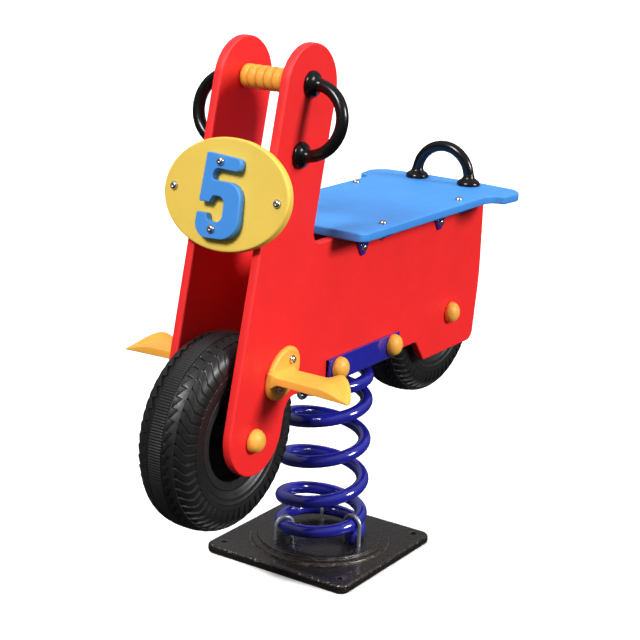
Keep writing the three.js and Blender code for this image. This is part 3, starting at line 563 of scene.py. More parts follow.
def rim_paint():
    finish = Finish("rim_paint", (0.009, 0.009, 0.01), 0.42)
    finish.tint(finish.edges(0.0012), (0.06, 0.06, 0.06), 0.5)
    finish.tint(finish.ramp(finish.noise(80, 5), 0.55, 0.75), (0.03, 0.027, 0.024), 0.6)
    finish.roughen(finish.noise(150, 4), 0.25)
    finish.bump(finish.noise(420, 2), 0.0003, 0.2)
    return finish.done()


LOOKS = {
    "red_sheet": sheet_plastic("red_sheet", (0.93, 0.017, 0.018)),
    "blue_sheet": sheet_plastic("blue_sheet", (0.052, 0.28, 0.76)),
    "yellow_sheet": sheet_plastic("yellow_sheet", (0.88, 0.6, 0.09)),
    "orange_plastic": moulded_orange(),
    "black_plastic": moulded_black(),
    "blue_steel": powder_blue(),
    "black_iron": hammered_iron(),
    "zinc": zinc_plate(),
    "stainless": polished_steel(),
    "tyre_rubber": tyre_rubber(),
    "rim_paint": rim_paint(),
}


def dress_cad_nodes():
    """Every CAD node takes its finish. Those with no finer piece stay in view."""
    for node, piece in NODES.items():
        for slot in piece.material_slots:
            slot.material = LOOKS[SLOT_OF[node]]


# ---------- base ----------
PLATE_CORNER = 0.016
PLATE_ROUND = 0.0062
DISC_EASE = 0.006
STEP_RADII = (0.121, 0.11)
STEP_RISE = 0.005
ANCHOR_AT = 0.12
ANCHOR_RADIUS = 0.006
DRILL = (-0.01, 0.05)  # the anchor holes' cutters run past both faces


def add_shape(mesh, shape):
    """Adds a closed shape to a mesh that is already made."""
    build = bmesh.new()
    build.from_mesh(mesh)
    points = [build.verts.new(p) for p in shape[0]]
    for face in shape[1]:
        build.faces.new([points[i] for i in face])
    bmesh.ops.recalc_face_normals(build, faces=build.faces)
    build.to_mesh(mesh)
    build.free()


def cut(piece, cutters):
    """Takes closed shapes out of a piece for good."""
    tool = mesh_object("cutter", joined(*cutters))
    boolean = piece.modifiers.new("cut", "BOOLEAN")
    boolean.operation = "DIFFERENCE"
    boolean.object = tool
    boolean.solver = "EXACT"
    graph = bpy.context.evaluated_depsgraph_get()
    done = bpy.data.meshes.new_from_object(piece.evaluated_get(graph))
    piece.modifiers.clear()
    piece.data = done
    bpy.data.objects.remove(tool)


def base_plate():
    low, high = (Vector(c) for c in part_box("base_plate"))
    half = high.x
    top = high.z - 2 * STEP_RISE
    outline = rounded([(u * half, v * half, PLATE_CORNER) for u, v in SQUARE])
    plate = slab(outline, low.z, top, PLATE_ROUND, 6)
    outer, inner = STEP_RADII
    profile = eased([
        (AXIS, top / 2),
        (outer, top / 2),
        (outer, top + STEP_RISE),
        (inner, top + STEP_RISE),
        (inner, high.z),
        (AXIS, high.z),
    ], DISC_EASE, 4)
    plate = add_piece("fine_base_plate", plate, "base_plate")
    discs = lathe(profile, 128)
    drill = lathe([(ANCHOR_RADIUS, height) for height in DRILL], 32)
    holes = []
    for u in (-1, 1):
        for v in (-1, 1):
            holes.append(moved(drill, Matrix.Translation((u * ANCHOR_AT, v * ANCHOR_AT, 0))))
    cut(plate, holes)
    add_shape(plate.data, discs)
    smooth_by_angle(plate.data, 50)


# ---------- spring ----------
WIRE_SIDES = 28
STEPS_PER_TURN = 44
CHAMFER = 0.84  # the wire's end faces, as a share of its section
CHAMFER_TURNS = 0.004
NUDGE = 0.001  # turns either side of a point that give its direction
LEG_STEPS = 6
BEND_STEPS = 24
TOP_NUT_RADIUS = 0.0065


def coil_height(turns):
    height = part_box("spring_bottom")[0][2] + WIRE_RADIUS
    for (start, low), (end, high) in zip(PITCH_STOPS, PITCH_STOPS[1:]):
        run = max(0, min(turns - start, end - start))
        height += run * (low + low + (high - low) * run / (end - start)) / 2
    return height


def coil_point(turns):
    return polar(COIL_RADIUS, COIL_START + 2 * math.pi * turns, coil_height(turns))


def coil_piece(start, end, first, last):
    """Part of the wire. The spring's own two ends have a small chamfer."""
    steps = math.ceil((end - start) * STEPS_PER_TURN)
    stations = [(start + (end - start) * i / steps, 1) for i in range(steps + 1)]
    if first:
        stations[:1] = [(start, CHAMFER), (start + CHAMFER_TURNS, 1)]
    if last:
        stations[-1:] = [(end - CHAMFER_TURNS, 1), (end, CHAMFER)]
    rings = []
    for turns, size in stations:
        centre = coil_point(turns)
        ahead = (coil_point(turns + NUDGE) - coil_point(turns - NUDGE)).normalized()
        out = polar(1, COIL_START + 2 * math.pi * turns, 0)
        up = ahead.cross(out)
        section = ellipse(WIRE_RADIUS * size, WIRE_RADIUS * size, WIRE_SIDES)
        rings.append([centre + out * q.x + up * q.y for q in section])
    return skin(rings)


def spring():
    """The two end lengths of wire ride with their bodies; the lengths between them are baked where they
    stand and ride with none.
    """
    last = len(SPRING_NODES) - 1
    for index, name in enumerate(SPRING_NODES):
        start, end = COIL_CUTS[index], COIL_CUTS[index + 1]
        rigid = index in (0, last)
        shape = coil_piece(start, end, index == 0, index == last)
        piece = add_piece(f"coil_{name}", shape, f"spring_{name}", ride=rigid)
        if not rigid:
            low, high = coil_height(start) + WIRE_RADIUS, coil_height(end) - WIRE_RADIUS
            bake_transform(piece)


def hook_path(angle, wire_height, leg_end):
    """Two upright legs and the half circle that joins them over or under the wire."""
    side = 1 if wire_height > leg_end else -1
    rise = wire_height - leg_end
    path = []
    for k in range(LEG_STEPS):
        path.append(polar(COIL_RADIUS + HOOK_REACH, angle, leg_end + rise * k / LEG_STEPS))
    for k in range(BEND_STEPS + 1):
        turn = math.pi * k / BEND_STEPS
        radius = COIL_RADIUS + HOOK_REACH * math.cos(turn)
        path.append(polar(radius, angle, wire_height + side * HOOK_REACH * math.sin(turn)))
    for k in range(1, LEG_STEPS + 1):
        path.append(polar(COIL_RADIUS - HOOK_REACH, angle, wire_height - rise * k / LEG_STEPS))
    return path


def hooks():
    for name, degrees in BASE_HOOKS.items():
        node = f"coil_hook_{name}"
        turns = (degrees - math.degrees(COIL_START)) / 360
        path = hook_path(math.radians(degrees), coil_height(turns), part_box(node)[0][2])
        add_piece(f"bent_{node}", sweep(path, ROD_RADIUS, 16), node)
    for name, turns in TOP_HOOK_TURNS.items():
        node = f"saddle_hook_{name}"
        angle = COIL_START + 2 * math.pi * turns
        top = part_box(node)[1][2]
        web_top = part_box("saddle_channel")[0][2] + CHANNEL_THICK
        rod = sweep(hook_path(angle, coil_height(turns), top), ROD_RADIUS, 16)
        nut = hex_nut(TOP_NUT_RADIUS, web_top + GAP)
        nuts = []
        for reach in (-HOOK_REACH, HOOK_REACH):
            nuts.append(moved(nut, Matrix.Translation(polar(COIL_RADIUS + reach, angle, 0))))
        add_piece(f"bent_{node}", joined(rod, *nuts), node)


# ---------- side panels and channel ----------
PANEL_BOTTOM = 0.3493
PANEL_LOW = 0.309  # the bottom edge over the rear wheel
PANEL_TOP = 0.5887
CHANNEL_BEND = 0.007
CHANNEL_INSIDE = 0.002
CHANNEL_RIM = 0.0012
CHANNEL_EASE = 0.0009


def fork_corner(centre, along, across, radius):
    point = centre + (FORK_AXIS * along + FORK_FRONT * across) * FORK_RADIUS
    return (point.x, point.y, radius)


def fork_rear_at(z):
    """The y of the fork's straight rear edge at a height."""
    corner = fork_corner(LOBE, 0, -1, 0)
    return corner[0] + (z - corner[1]) * FORK_AXIS.x / FORK_AXIS.y


def panel_outline():
    """Corners (y, z, radius) from the fork's foot, along the bottom, up the rear and back to the fork."""
    return rounded([
        fork_corner(LOBE, -1, -1, FORK_RADIUS),
        (fork_rear_at(PANEL_BOTTOM), PANEL_BOTTOM, 0.028),
        (0.18, PANEL_BOTTOM, 0.014),
        (0.211, PANEL_LOW, 0.01),
        (0.391, PANEL_LOW, 0.02),
        (0.406, 0.43, 0.3),
        (0.404, PANEL_TOP, 0.012),
        (fork_rear_at(PANEL_TOP), PANEL_TOP, 0.02),
        fork_corner(CROWN, 1, -1, FORK_RADIUS),
        fork_corner(CROWN, 1, 1, FORK_RADIUS),
        fork_corner(LOBE, -1, 1, FORK_RADIUS),
    ])


def side_panels():
    outline = panel_outline()
    for name, _ in SIDES:
        node = f"side_panel_{name}"
        low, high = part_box(node)
        shape = moved(slab(outline, low[0], high[0], SHEET_EASE), SIDE_VIEW)
        add_piece(f"board_{node}", shape, node)


def channel():
    node = "saddle_channel"
    low, high = (Vector(c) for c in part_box(node))
    out = high.x
    inside = out - CHANNEL_THICK
    web = low.z + CHANNEL_THICK
    outline = rounded([
        (-out, low.z, CHANNEL_BEND),
        (out, low.z, CHANNEL_BEND),
        (out, high.z, CHANNEL_RIM),
        (inside, high.z, CHANNEL_RIM),
        (inside, web, CHANNEL_INSIDE),
        (-inside, web, CHANNEL_INSIDE),
        (-inside, high.z, CHANNEL_RIM),
        (-out, high.z, CHANNEL_RIM),
    ])
    shape = moved(slab(outline, -high.y, high.y, CHANNEL_EASE, 3), FRONT_VIEW)
    add_piece("pressed_saddle_channel", shape, node)


# ---------- caps, screws ----------
CAP_BORE = 0.006
CAP_STRAIGHT = 0.003  # height at which a cap starts to curve in
CAP_FULLNESS = 0.92  # under 1 makes the dome blunter than an ellipse
CAP_STEPS = 18


def dome_caps():
    for node in [name for name in NODES if "_cap_" in name]:
        side = 1 if node.endswith("left") else -1
        low, high = (Vector(c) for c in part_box(node))
        radius = (high.y - low.y) / 2
        tall = high.x - low.x
        profile = [(CAP_BORE, 0.0002), (radius - 0.001, 0), (radius, 0.0008), (radius, CAP_STRAIGHT)]
        for k in range(1, CAP_STEPS + 1):
            turn = math.pi / 2 * k / CAP_STEPS
            height = CAP_STRAIGHT + (tall - CAP_STRAIGHT) * math.sin(turn)
            profile.append((max(AXIS, radius * math.cos(turn) ** CAP_FULLNESS), height))
        at = middle(node)
        at.x = low.x if side > 0 else high.x
        shape = moved(lathe(profile, 56), outward(side, at))
        add_piece(f"smooth_{node}", shape, node)


SCREW_HEAD = 0.0062
SCREW_DOME = 0.005
SCREW_WASHER = 0.007
WASHER_HIGH = 0.0012
SCREW_SHANK = 0.003
SOCKET = 0.0022
SOCKET_DEEP = 0.0019
DOME_STEPS = 7
NUT_RADIUS = 0.0058
NUT_AT = 0.0194  # from a bolt's washer to its nut
BOLT_LONG = 0.028
REST_SCREW_LONG = 0.0173
FIGURE_SCREW_LONG = 0.022


def screw(shank, nut_at=0.0):
    """A dome screw with a thin washer and a round socket; the washer's underside is at z = 0."""
    bottom = SCREW_DOME - SOCKET_DEEP
    dome = [(AXIS, bottom), (SOCKET * 0.9, bottom), (SOCKET, SCREW_DOME - 0.0002)]
    for k in range(1, DOME_STEPS + 1):
        turn = math.pi / 2 * k / DOME_STEPS
        radius = SOCKET + (SCREW_HEAD - SOCKET) * math.sin(turn)
        dome.append((radius, WASHER_HIGH + (SCREW_DOME - WASHER_HIGH) * math.cos(turn)))
    dome += [(SCREW_WASHER - 0.0001, 0.0011), (SCREW_WASHER, 0.0007), (SCREW_WASHER, 0)]
    dome += [(SCREW_SHANK, 0), (SCREW_SHANK, -shank), (AXIS, -shank)]
    turned = lathe(dome, 36)
    return joined(turned, hex_nut(NUT_RADIUS, -nut_at - NUT_HIGH)) if nut_at else turned


def screws():
    for name, side in SIDES:
        for end in ENDS:
            node = f"seat_bolt_{end}_{name}"
            at = middle(node)
            at.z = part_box("seat_board")[1][2] + GAP
            add_piece(f"turned_{node}", moved(screw(BOLT_LONG, NUT_AT), Matrix.Translation(at)), node)
        for level in ("low", "high"):
            node = f"footrest_screw_{level}_{name}"
            at = middle(node)
            at.x = side * (PANEL_OUT + REST_FLANGE + 2 * GAP)
            add_piece(f"turned_{node}", moved(screw(REST_SCREW_LONG), outward(side, at)), node)
        node = f"sign_bolt_{name}"
        at = SIGN_PLANE @ Matrix.Translation((side * SIGN_BOLT_X, 0, GAP))
        add_piece(f"turned_{node}", moved(screw(BOLT_LONG, NUT_AT), at), node)
    for level, (u, v) in FIGURE_SCREWS.items():
        node = f"sign_figure_screw_{level}"
        at = SIGN_PLANE @ Matrix.Translation((u, v, FIGURE_THICK + 2 * GAP))
        add_piece(f"turned_{node}", moved(screw(FIGURE_SCREW_LONG), at), node)


# ---------- brackets ----------
BRACKET_THICK = 0.0035
BRACKET_HALF = 0.018
BRACKET_EASE = 0.0006
BEND_CORNER = 0.0003  # outline corners at the bracket's bend
TAB_SHOULDER = 0.021
TAB_LONG = 0.052
TAB_SCREW = 0.03
TAB_SCREW_LONG = 0.01
LEGS = {"seat": 0.05, "sign": 0.037}


def bracket(reach):
    """Pressed angle: the leg runs along +X under z = 0, the tab hangs down on x = 0. Then its screw."""
    leg_outline = rounded([
        (0, -BRACKET_HALF, BEND_CORNER),
        (reach, -BRACKET_HALF, 0.008),
        (reach, BRACKET_HALF, 0.008),
        (0, BRACKET_HALF, BEND_CORNER),
    ])
    tab_outline = rounded([
        (-BRACKET_HALF, 0, BEND_CORNER),
        (-BRACKET_HALF, -TAB_SHOULDER, 0.01),
        (0, -TAB_LONG, 0.009),
        (BRACKET_HALF, -TAB_SHOULDER, 0.01),
        (BRACKET_HALF, 0, BEND_CORNER),
    ])
    leg = slab(leg_outline, -BRACKET_THICK, 0, BRACKET_EASE, 2)
    tab = moved(slab(tab_outline, 0, BRACKET_THICK, BRACKET_EASE, 2), SIDE_VIEW)
    fixing = moved(screw(TAB_SCREW_LONG), outward(1, (BRACKET_THICK, 0, -TAB_SCREW)))
    return joined(leg, tab), fixing


def brackets():
    """Powder-coated angles with a steel screw through each tab."""
    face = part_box("side_panel_left")[1][0] + GAP
    for name, side in SIDES:
        for end in ENDS:
            node = f"seat_bracket_{end}_{name}"
            at = (side * face, middle(node).y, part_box("seat_board")[0][2] - GAP)
            place_bracket(node, "seat", axes((side, 0, 0), (0, side, 0), (0, 0, 1), at))
        back = SIGN_PLANE @ Vector((side * face, 0, -SHEET_THICK - GAP))
        up = Vector((0, FORK_FRONT.x, FORK_FRONT.y))
        place_bracket(f"sign_bracket_{name}", "sign", axes((side, 0, 0), up.cross((side, 0, 0)), up, back))


def place_bracket(node, kind, matrix):
    angle, fixing = bracket(LEGS[kind])
    piece = add_piece(f"pressed_{node}", moved(joined(angle, fixing), matrix), node, crease=40)
    piece.data.materials.append(LOOKS["stainless"])
    for polygon in piece.data.polygons[len(angle[1]):]:
        polygon.material_index = 1


# ---------- wheels ----------
# Radius and half width down one side of the bare tyre, from the crown to the bead.
TYRE_SIDE = (
    (0.158, 0), (0.1565, 0.02), (0.150, 0.035), (0.139, 0.044),
    (0.124, 0.048), (0.104, 0.046), (0.0882, 0.0405),
)
CURVE_STEPS = 16
BEAD = ((0.0876, 0.0395), (0.0876, 0.0358), (0.0794, 0.0356))
LUGS = 54
PER_LUG = 12
GROOVE_COLUMNS = 2  # of a lug's columns, those in the groove
RIBS_PER_LUG = 4
RIB_GROOVE = 0.3  # share of a rib's pitch
# Distances and lines below are measured from the crown's middle, over the surface.
RIB_LINES = (0, 0.004, 0.008, 0.0118)
RIB_DEEP = 0.0011
LINE_GROOVE = ((0.0122, 0.0018), (0.0131, 0.0018), (0.0135, 0.0002), (0.0143, 0.0002), (0.0146, 0.0012))
ZIGZAG_FROM = 0.015
ZIGZAG_REACH = (0.0172, 0.0285)
ZIGZAG_DEEP = 0.0034
ZIGZAG_START = 0.15  # share of the depth at the notch's inner end
SHARES = (0, 0.34, 0.67, 1)
STEP = 0.0004  # width of an upright wall in the tread
LUG_FROM = 0.0328
LUG_TO = 0.0745
LUG_STEPS = 18
LUG_LEAN = 0.95  # in lug pitches, from the crown to the shoulder
LUG_UPRIGHT = 0.056
LUG_DEEP = 0.0038
LUG_SLOPE = 0.0021
LUG_FADE = 0.45  # share of the depth lost towards the sidewall
WALL_LINES = (
    (0.075, 0), (0.079, 0), (0.0825, 0), (0.083, -0.0003), (0.0838, -0.0003), (0.0843, 0), (0.088, 0),
    (0.0915, 0), (0.092, -0.0004), (0.093, -0.0004), (0.0935, 0), (0.097, 0), (0.1, 0),
)


def tyre_curve():
    """Fine points of the bare tyre's side with their distance from the crown's middle."""
    points = [Vector(p) for p in TYRE_SIDE]
    points = [Vector((points[1].x, -points[1].y))] + points + [points[-1] * 2 - points[-2]]
    fine = []
    for p0, p1, p2, p3 in zip(points, points[1:], points[2:], points[3:]):
        for k in range(CURVE_STEPS):
            t = k / CURVE_STEPS
            ahead = p2 - p0
            bend = 2 * p0 - 5 * p1 + 4 * p2 - p3
            twist = 3 * p1 - p0 - 3 * p2 + p3
            fine.append(p1 + 0.5 * (ahead * t + bend * t * t + twist * t ** 3))
    fine.append(points[-2])
    reach = [0]
    for p, q in zip(fine, fine[1:]):
        reach.append(reach[-1] + (q - p).length)
    return fine, reach


def on_tyre(curve, distance, depth):
    """The radius and half width at a distance from the crown's middle, sunk by a depth."""
    fine, reach = curve
    i = 0
    while i < len(fine) - 2 and reach[i + 1] < distance:
        i += 1
    along = (fine[i + 1] - fine[i]).normalized()
    point = fine[i] + along * (distance - reach[i])
    return point + Vector((-along.y, along.x)) * depth


def tread_column(phase):
    """Distance, depth and lean of each grid line at a share of one lug's pitch."""
    rib = RIB_DEEP if phase * RIBS_PER_LUG % 1 < RIB_GROOVE else 0
    column = [(d, rib, 0) for d in RIB_LINES]
    column += [(d, depth, 0) for d, depth in LINE_GROOVE]
    low, high = ZIGZAG_REACH
    edge = low + (high - low) * phase
    for share in SHARES:
        depth = ZIGZAG_DEEP * (ZIGZAG_START + (1 - ZIGZAG_START) * share)
        column.append((ZIGZAG_FROM + (edge - ZIGZAG_FROM) * share, depth, 0))
    column += [(edge + STEP + (LUG_FROM - STEP - edge) * share, 0, 0) for share in SHARES]
    land = (phase * PER_LUG - GROOVE_COLUMNS) / (PER_LUG - GROOVE_COLUMNS)
    sunk = LUG_DEEP if land < 0 else LUG_SLOPE * (1 - land)
    for k in range(LUG_STEPS + 1):
        distance = LUG_FROM + STEP + (LUG_TO - LUG_FROM - STEP) * k / LUG_STEPS
        fade = 1 - LUG_FADE * k / LUG_STEPS
        lean = -LUG_LEAN * smooth(distance, LUG_FROM, LUG_UPRIGHT)
        column.append((distance, sunk * fade, lean))
    column += [(d, depth, -LUG_LEAN) for d, depth in WALL_LINES]
    return column


def tyre_point(x, radius, lugs):
    turn = 2 * math.pi * lugs / LUGS
    return Vector((x, radius * math.sin(turn), radius * math.cos(turn)))


def tyre(name):
    """A ring of lugs: ribs on the crown, a row of notches, then grooves that sweep over the shoulder."""
    node = f"{name}_tyre"
    curve = tyre_curve()
    columns = [tread_column(k / PER_LUG) for k in range(PER_LUG)]
    count = LUGS * PER_LUG
    halves = []
    for hand, shift in ((1, 0), (-1, PER_LUG // 2)):
        rings = []
        for line in range(len(columns[0])):
            ring = []
            for k in range(count):
                distance, depth, lean = columns[(k + shift) % PER_LUG][line]
                radius, width = on_tyre(curve, distance, depth)
                ring.append(tyre_point(hand * width, radius, k / PER_LUG + lean))
            rings.append(ring)
        for radius, width in BEAD:
            rings.append([tyre_point(hand * width, radius, k / PER_LUG - LUG_LEAN) for k in range(count)])
        halves.append(rings)
    rings = list(reversed(halves[1]))[:-1] + halves[0]
    shape = skin(rings, closed=True)
    add_piece(f"treaded_{node}", moved(shape, Matrix.Translation(middle(node))), node, crease=50)


# Radius and half width down one side of the rim: bead seat, flange, well, web, hub and bore.
RIM_SIDE = (
    (0.079, 0.034), (0.079, 0.0352), (0.08, 0.036), (0.086, 0.0362), (0.087, 0.037),
    (0.087, 0.0387), (0.086, 0.0397), (0.075, 0.0397), (0.0728, 0.0377),
    (0.072, 0.022), (0.068, 0.014), (0.062, 0.008), (0.034, 0.008), (0.026, 0.011),
    (0.0225, 0.02), (0.0205, 0.05), (0.0195, 0.0534), (0.0075, 0.0534), (0.0072, 0.051),
)


def rim(name):
    node = f"{name}_rim"
    profile = list(RIM_SIDE) + [(radius, -x) for radius, x in reversed(RIM_SIDE)]
    shape = moved(lathe(profile, 96, closed=True), outward(1, middle(node)))
    add_piece(f"spun_{node}", shape, node, crease=40)


# ---------- seat ----------
SEAT_HALF = 0.126
WING_HALF = 0.158


def seat_board():
    """The outline's corners (x, y, radius) run from the front to the rear, then back mirrored."""
    node = "seat_board"
    low, high = (Vector(c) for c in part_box(node))
    side = [
        (SEAT_HALF - 0.008, low.y, 0.006),
        (SEAT_HALF, low.y + 0.012, 0.007),
        (SEAT_HALF, 0.314, 0.022),
        (WING_HALF - 0.006, 0.322, 0.01),
        (WING_HALF, 0.372, 0.03),
        (WING_HALF - 0.024, high.y - 0.008, 0.016),
        (0.06, high.y, 0.2),
    ]
    mirrored = [(-u, v, r) for u, v, r in reversed(side)]
    shape = slab(rounded(side + mirrored), low.z, high.z, SHEET_EASE)
    add_piece("board_seat", shape, node)


# ---------- handles ----------
HANDLE_ROOT = 0.003  # the tube starts this far out, inside its flange
ROOT_STEPS = 4
BOW_STEPS = 48
# Radius and height of a bell flange, from its seat to the tube.
BELL = (
    (0.007, GAP), (0.0203, GAP), (0.021, 0.001), (0.0211, 0.0025), (0.0208, 0.0042),
    (0.0199, 0.0062), (0.0184, 0.0081), (0.0163, 0.0098), (0.0139, 0.0113), (0.0119, 0.013),
    (0.0107, 0.0155), (0.01, 0.0185), (0.0092, 0.0205),
)


def handle_shape():
    """A D-shaped bow between two bell flanges, standing on local z = 0 along local y."""
    half = HANDLE_SPAN / 2
    straight = HANDLE_RISE - HANDLE_ROOT
    path = [Vector((0, -half, HANDLE_ROOT + straight * k / ROOT_STEPS)) for k in range(ROOT_STEPS)]
    for k in range(BOW_STEPS + 1):
        turn = math.pi * k / BOW_STEPS
        path.append(Vector((0, -half * math.cos(turn), HANDLE_RISE + half * math.sin(turn))))
    for k in range(1, ROOT_STEPS + 1):
        path.append(Vector((0, half, HANDLE_RISE - straight * k / ROOT_STEPS)))
    bow = sweep(path, HANDLE_TUBE, 32)
    bells = [moved(lathe(BELL, 48), Matrix.Translation((0, y, 0))) for y in (-half, half)]
    return joined(bow, *bells)


def handles():
    for name, side in SIDES:
        node = f"fork_handle_{name}"
        at = middle(node)
        at.x = side * PANEL_OUT
        along = Vector((0, FORK_AXIS.x, FORK_AXIS.y))
        out = Vector((side, 0, 0))
        shape = moved(handle_shape(), axes(along.cross(out), along, out, at))
        add_piece(f"moulded_{node}", shape, node)
    at = middle("seat_handle")
    at.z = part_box("seat_board")[1][2]
    shape = moved(handle_shape(), axes((0, -1, 0), (1, 0, 0), (0, 0, 1), at))
    add_piece("moulded_seat_handle", shape, "seat_handle")


RINGS = 7
RING_STEPS = 12
GRIP_BORE = 0.0075
GROOVE_DEEP = 0.0042


def grip_rings():
    node = "grip_roller"
    low, high = (Vector(c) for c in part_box(node))
    radius = (high.y - low.y) / 2
    pitch = (high.x - low.x) / RINGS
    profile = [(GRIP_BORE, low.x)]
    for k in range(RINGS):
        for j in range(RING_STEPS + 1):
            t = j / RING_STEPS
            bulge = (1 - (2 * t - 1) ** 4) ** 0.5
            profile.append((radius - GROOVE_DEEP * (1 - bulge), low.x + pitch * (k + t)))
    profile.append((GRIP_BORE, high.x))
    at = middle(node)
    at.x = 0
    shape = moved(lathe(profile, 56, closed=True), outward(1, at))
    add_piece("turned_grip_rings", shape, node)


# ---------- footrests ----------
PEG_Y = -0.24975
PEG_TOP = 0.401
PEG_HALF = 0.02675
PEG_REACH = 0.148
PEG_ROUND_FROM = 0.086
PEG_DEEP = 0.0125
PEG_TIP_DEEP = 0.0164
PEG_DROP_FROM = 0.091
LIP_FROM = 0.072
LIP_PEAK = 0.107
LIP_HIGH = 0.0115
LIP_WIDE = 0.03
PEG_FLARE = 0.006  # the root swells into the flange
PEG_FLARE_LONG = 0.012
PEG_ENDS = (0.004, 0.1462)
PEG_STATIONS = 60
PEG_CROWDING = 0.92  # under 1 sets the stations closer at the tip
PEG_ACROSS = 15
PEG_EASE = 0.0022
PEG_LEAST_EASE = 0.00005
PEG_EASE_STEPS = 4
# The most that an ease takes of the peg's width, of its depth and of one side.
EASE_OF_WIDTH = 0.2
EASE_OF_DEPTH = 0.3
EASE_OF_SIDE = 0.45
REST_CENTRE = (-0.241, 0.397)  # y, z of the oval flange
REST_HALVES = (0.0472, 0.0357)
REST_TILT = math.radians(41)
# How far the oval's rings are drawn in, and their height over the panel.
REST_RINGS = (
    (0.001, 0), (0, 0.0008), (0, 0.004), (0.0006, 0.0062), (0.0022, 0.0078), (0.0045, 0.0087),
    (0.0072, 0.0089), (0.0084, 0.0084), (0.0098, 0.0081), (0.013, 0.0083), (0.02, 0.0086),
)


def peg_rear(u):
    t = max(0, min(1, (u - PEG_ROUND_FROM) / (PEG_REACH - PEG_ROUND_FROM)))
    return PEG_HALF * (2 * (1 - t ** 2) ** 0.7 - 1)


def peg_front_edge(u):
    t = max(0, u - PEG_DROP_FROM) / (PEG_REACH - PEG_DROP_FROM)
    return -PEG_TIP_DEEP * t ** 1.6


def lip_crest(u):
    if u < LIP_PEAK:
        return LIP_HIGH * smooth(u, LIP_FROM, LIP_PEAK)
    t = (u - LIP_PEAK) / (PEG_REACH - LIP_PEAK)
    return LIP_HIGH - (LIP_HIGH + PEG_TIP_DEEP) * t ** 1.7


def peg_section(u):
    """The peg's rounded section at a distance from the panel."""
    flare = PEG_FLARE * max(0, 1 - max(0, u - REST_FLANGE) / PEG_FLARE_LONG) ** 2
    front, rear = -PEG_HALF - flare, peg_rear(u) + flare
    floor = -PEG_DEEP + (PEG_DEEP - PEG_TIP_DEEP) * u / PEG_REACH - flare
    top = []
    for k in range(PEG_ACROSS):
        v = front + (rear - front) * k / (PEG_ACROSS - 1)
        rise = smooth(v, rear - LIP_WIDE, rear)
        top.append(Vector((v, peg_front_edge(u) * (1 - rise) + lip_crest(u) * rise + flare)))
    shallow = min(top[0].y, top[-1].y) - floor
    ease = max(PEG_LEAST_EASE, min(PEG_EASE, (rear - front) * EASE_OF_WIDTH, shallow * EASE_OF_DEPTH))
    corners = top + [Vector((rear, floor)), Vector((front, floor))]
    ring = []
    for i, corner in enumerate(corners):
        if 0 < i < PEG_ACROSS - 1:
            ring.append(corner)
            continue
        ends = []
        for other in (corners[i - 1], corners[(i + 1) % len(corners)]):
            edge = other - corner
            ends.append(corner + edge.normalized() * min(ease, edge.length * EASE_OF_SIDE))
        ring += corner_curve(ends[0], corner, ends[1], PEG_EASE_STEPS)
    return [Vector((u, v, w)) for v, w in ring]


def footrests():
    low, high = PEG_ENDS
    sections = []
    for k in range(PEG_STATIONS + 1):
        sections.append(peg_section(low + (high - low) * (k / PEG_STATIONS) ** PEG_CROWDING))
    peg = moved(skin(sections), Matrix.Translation((0, PEG_Y, PEG_TOP)))
    outline = ellipse(*REST_HALVES, 96)
    rings = []
    for depth, height in REST_RINGS:
        rings.append([Vector((p.x, p.y, height)) for p in inset(outline, depth)])
    c, s = math.cos(REST_TILT), math.sin(REST_TILT)
    for name, side in SIDES:
        node = f"footrest_{name}"
        face = side * (PANEL_OUT + GAP)
        oval = moved(skin(rings), axes((0, c, s), (0, -s, c), (side, 0, 0), (face, *REST_CENTRE)))
        rest = moved(peg, Matrix.Translation((face, 0, 0)) @ Matrix.Scale(side, 4, (1, 0, 0)))
        add_piece(f"moulded_{node}", joined(oval, rest), node)


# ---------- number sign ----------
SIGN_HALVES = (0.1155, 0.0862)
FIGURE_EASE = 0.0015


def sign():
    board = slab(ellipse(*SIGN_HALVES, 160), -SHEET_THICK, 0, SHEET_EASE)
    add_piece("board_sign", moved(board, SIGN_PLANE), "sign_board")
    outline = rounded([
        (-0.034, 0.060, 0.003), (0.032, 0.056, 0.009), (0.028, 0.036, 0.008), (-0.019, 0.0375, 0.009),
        (-0.016, 0.0195, 0.004), (0.036, 0.019, 0.026), (0.044, -0.066, 0.032), (-0.038, -0.070, 0.024),
        (-0.037, -0.031, 0.003), (-0.019, -0.031, 0.004), (-0.014, -0.043, 0.008), (0.011, -0.043, 0.012),
        (0.009, -0.004, 0.011), (-0.012, -0.004, 0.006), (-0.017, -0.015, 0.003), (-0.036, -0.015, 0.003),
    ])
    figure = moved(slab(outline, GAP, FIGURE_THICK + GAP, FIGURE_EASE), SIGN_PLANE)
    add_piece("board_sign_figure", figure, "sign_figure")


# ---------- stage ----------
FLOOR_REACH = 40  # half the floor's side
FLOOR_GLOW = 0.28  # keeps the shadows on the paper pale
BACKDROP_HIGH = 60
BACKDROP_GLOW = 1  # the walls look as pale as the floor
SKY = (-0.1, 0.9, 0.04, 0.5)  # from and to heights, and their strengths
FILL_WIDTH = 40  # a lamp wider than this makes no highlights
LAMPS = (  # azimuth from -Y towards +X, elevation, strength, width
    ("side_softbox", 103, 26, 3.15, 18),
    ("front_softbox", -6, 44, 3.0, 18),
    ("rear_fill", 232, 20, 1.7, 60),
)


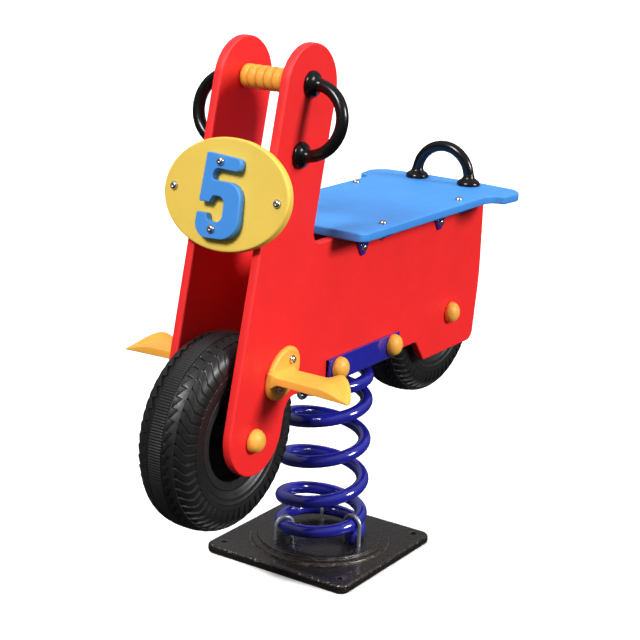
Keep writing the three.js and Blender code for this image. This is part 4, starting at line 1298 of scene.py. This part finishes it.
def paper(name, points, faces, glow):
    """A sheet of the set: the camera sees it, and it throws no light on the object."""
    sheet = mesh_object(name, (points, faces))
    finish = Finish(name + "_paper", (0.93, 0.93, 0.93), 0.9)
    finish.tint(finish.noise(3), (0.9, 0.9, 0.9), 0.3)
    finish.bump(finish.noise(300), 0.0001, 0.05)
    finish.set(Emission_Color=(1, 1, 1, 1), Emission_Strength=glow)
    sheet.data.materials.append(finish.done())
    sheet.visible_diffuse = False
    sheet.visible_glossy = False
    return sheet


def studio():
    low = [(x * FLOOR_REACH, y * FLOOR_REACH, 0) for x, y in SQUARE]
    high = [(x, y, BACKDROP_HIGH) for x, y, _ in low]
    walls = [(i, (i + 1) % 4, (i + 1) % 4 + 4, i + 4) for i in range(4)]
    paper("floor", low, [(0, 1, 2, 3)], FLOOR_GLOW)
    backdrop = paper("backdrop", low + high, walls, BACKDROP_GLOW)
    backdrop.visible_shadow = False
    world = bpy.data.worlds.new("studio")
    world.use_nodes = True
    tree = world.node_tree
    where = tree.nodes.new("ShaderNodeTexCoord")
    parts = tree.nodes.new("ShaderNodeSeparateXYZ")
    sky = tree.nodes.new("ShaderNodeMapRange")
    for key, number in zip(MAP_RANGE, SKY):
        sky.inputs[key].default_value = number
    tree.links.new(where.outputs["Generated"], parts.inputs["Vector"])
    tree.links.new(parts.outputs["Z"], sky.inputs["Value"])
    tree.links.new(sky.outputs["Result"], tree.nodes["Background"].inputs["Strength"])
    tree.nodes["Background"].inputs["Color"].default_value = (1, 1, 1, 1)
    bpy.context.scene.world = world
    for name, azimuth, elevation, strength, spread in LAMPS:
        add_lamp(name, azimuth, elevation, strength, spread)
    bpy.context.scene.view_settings.view_transform = "Standard"


def add_lamp(name, azimuth, elevation, strength, spread):
    """A round, far softbox."""
    data = bpy.data.lights.new(name, "SUN")
    data.energy = strength
    data.angle = math.radians(spread)
    lamp = placed(name, data)
    a, e = math.radians(azimuth), math.radians(elevation)
    towards = Vector((math.sin(a) * math.cos(e), -math.cos(a) * math.cos(e), math.sin(e)))
    lamp.rotation_euler = (-towards).to_track_quat("-Z", "Y").to_euler()
    lamp.visible_glossy = spread < FILL_WIDTH


dress_cad_nodes()
base_plate()
spring()
hooks()
side_panels()
channel()
dome_caps()
screws()
brackets()
for end_name in ENDS:
    tyre(end_name)
    rim(end_name)
seat_board()
handles()
grip_rings()
footrests()
sign()
studio()
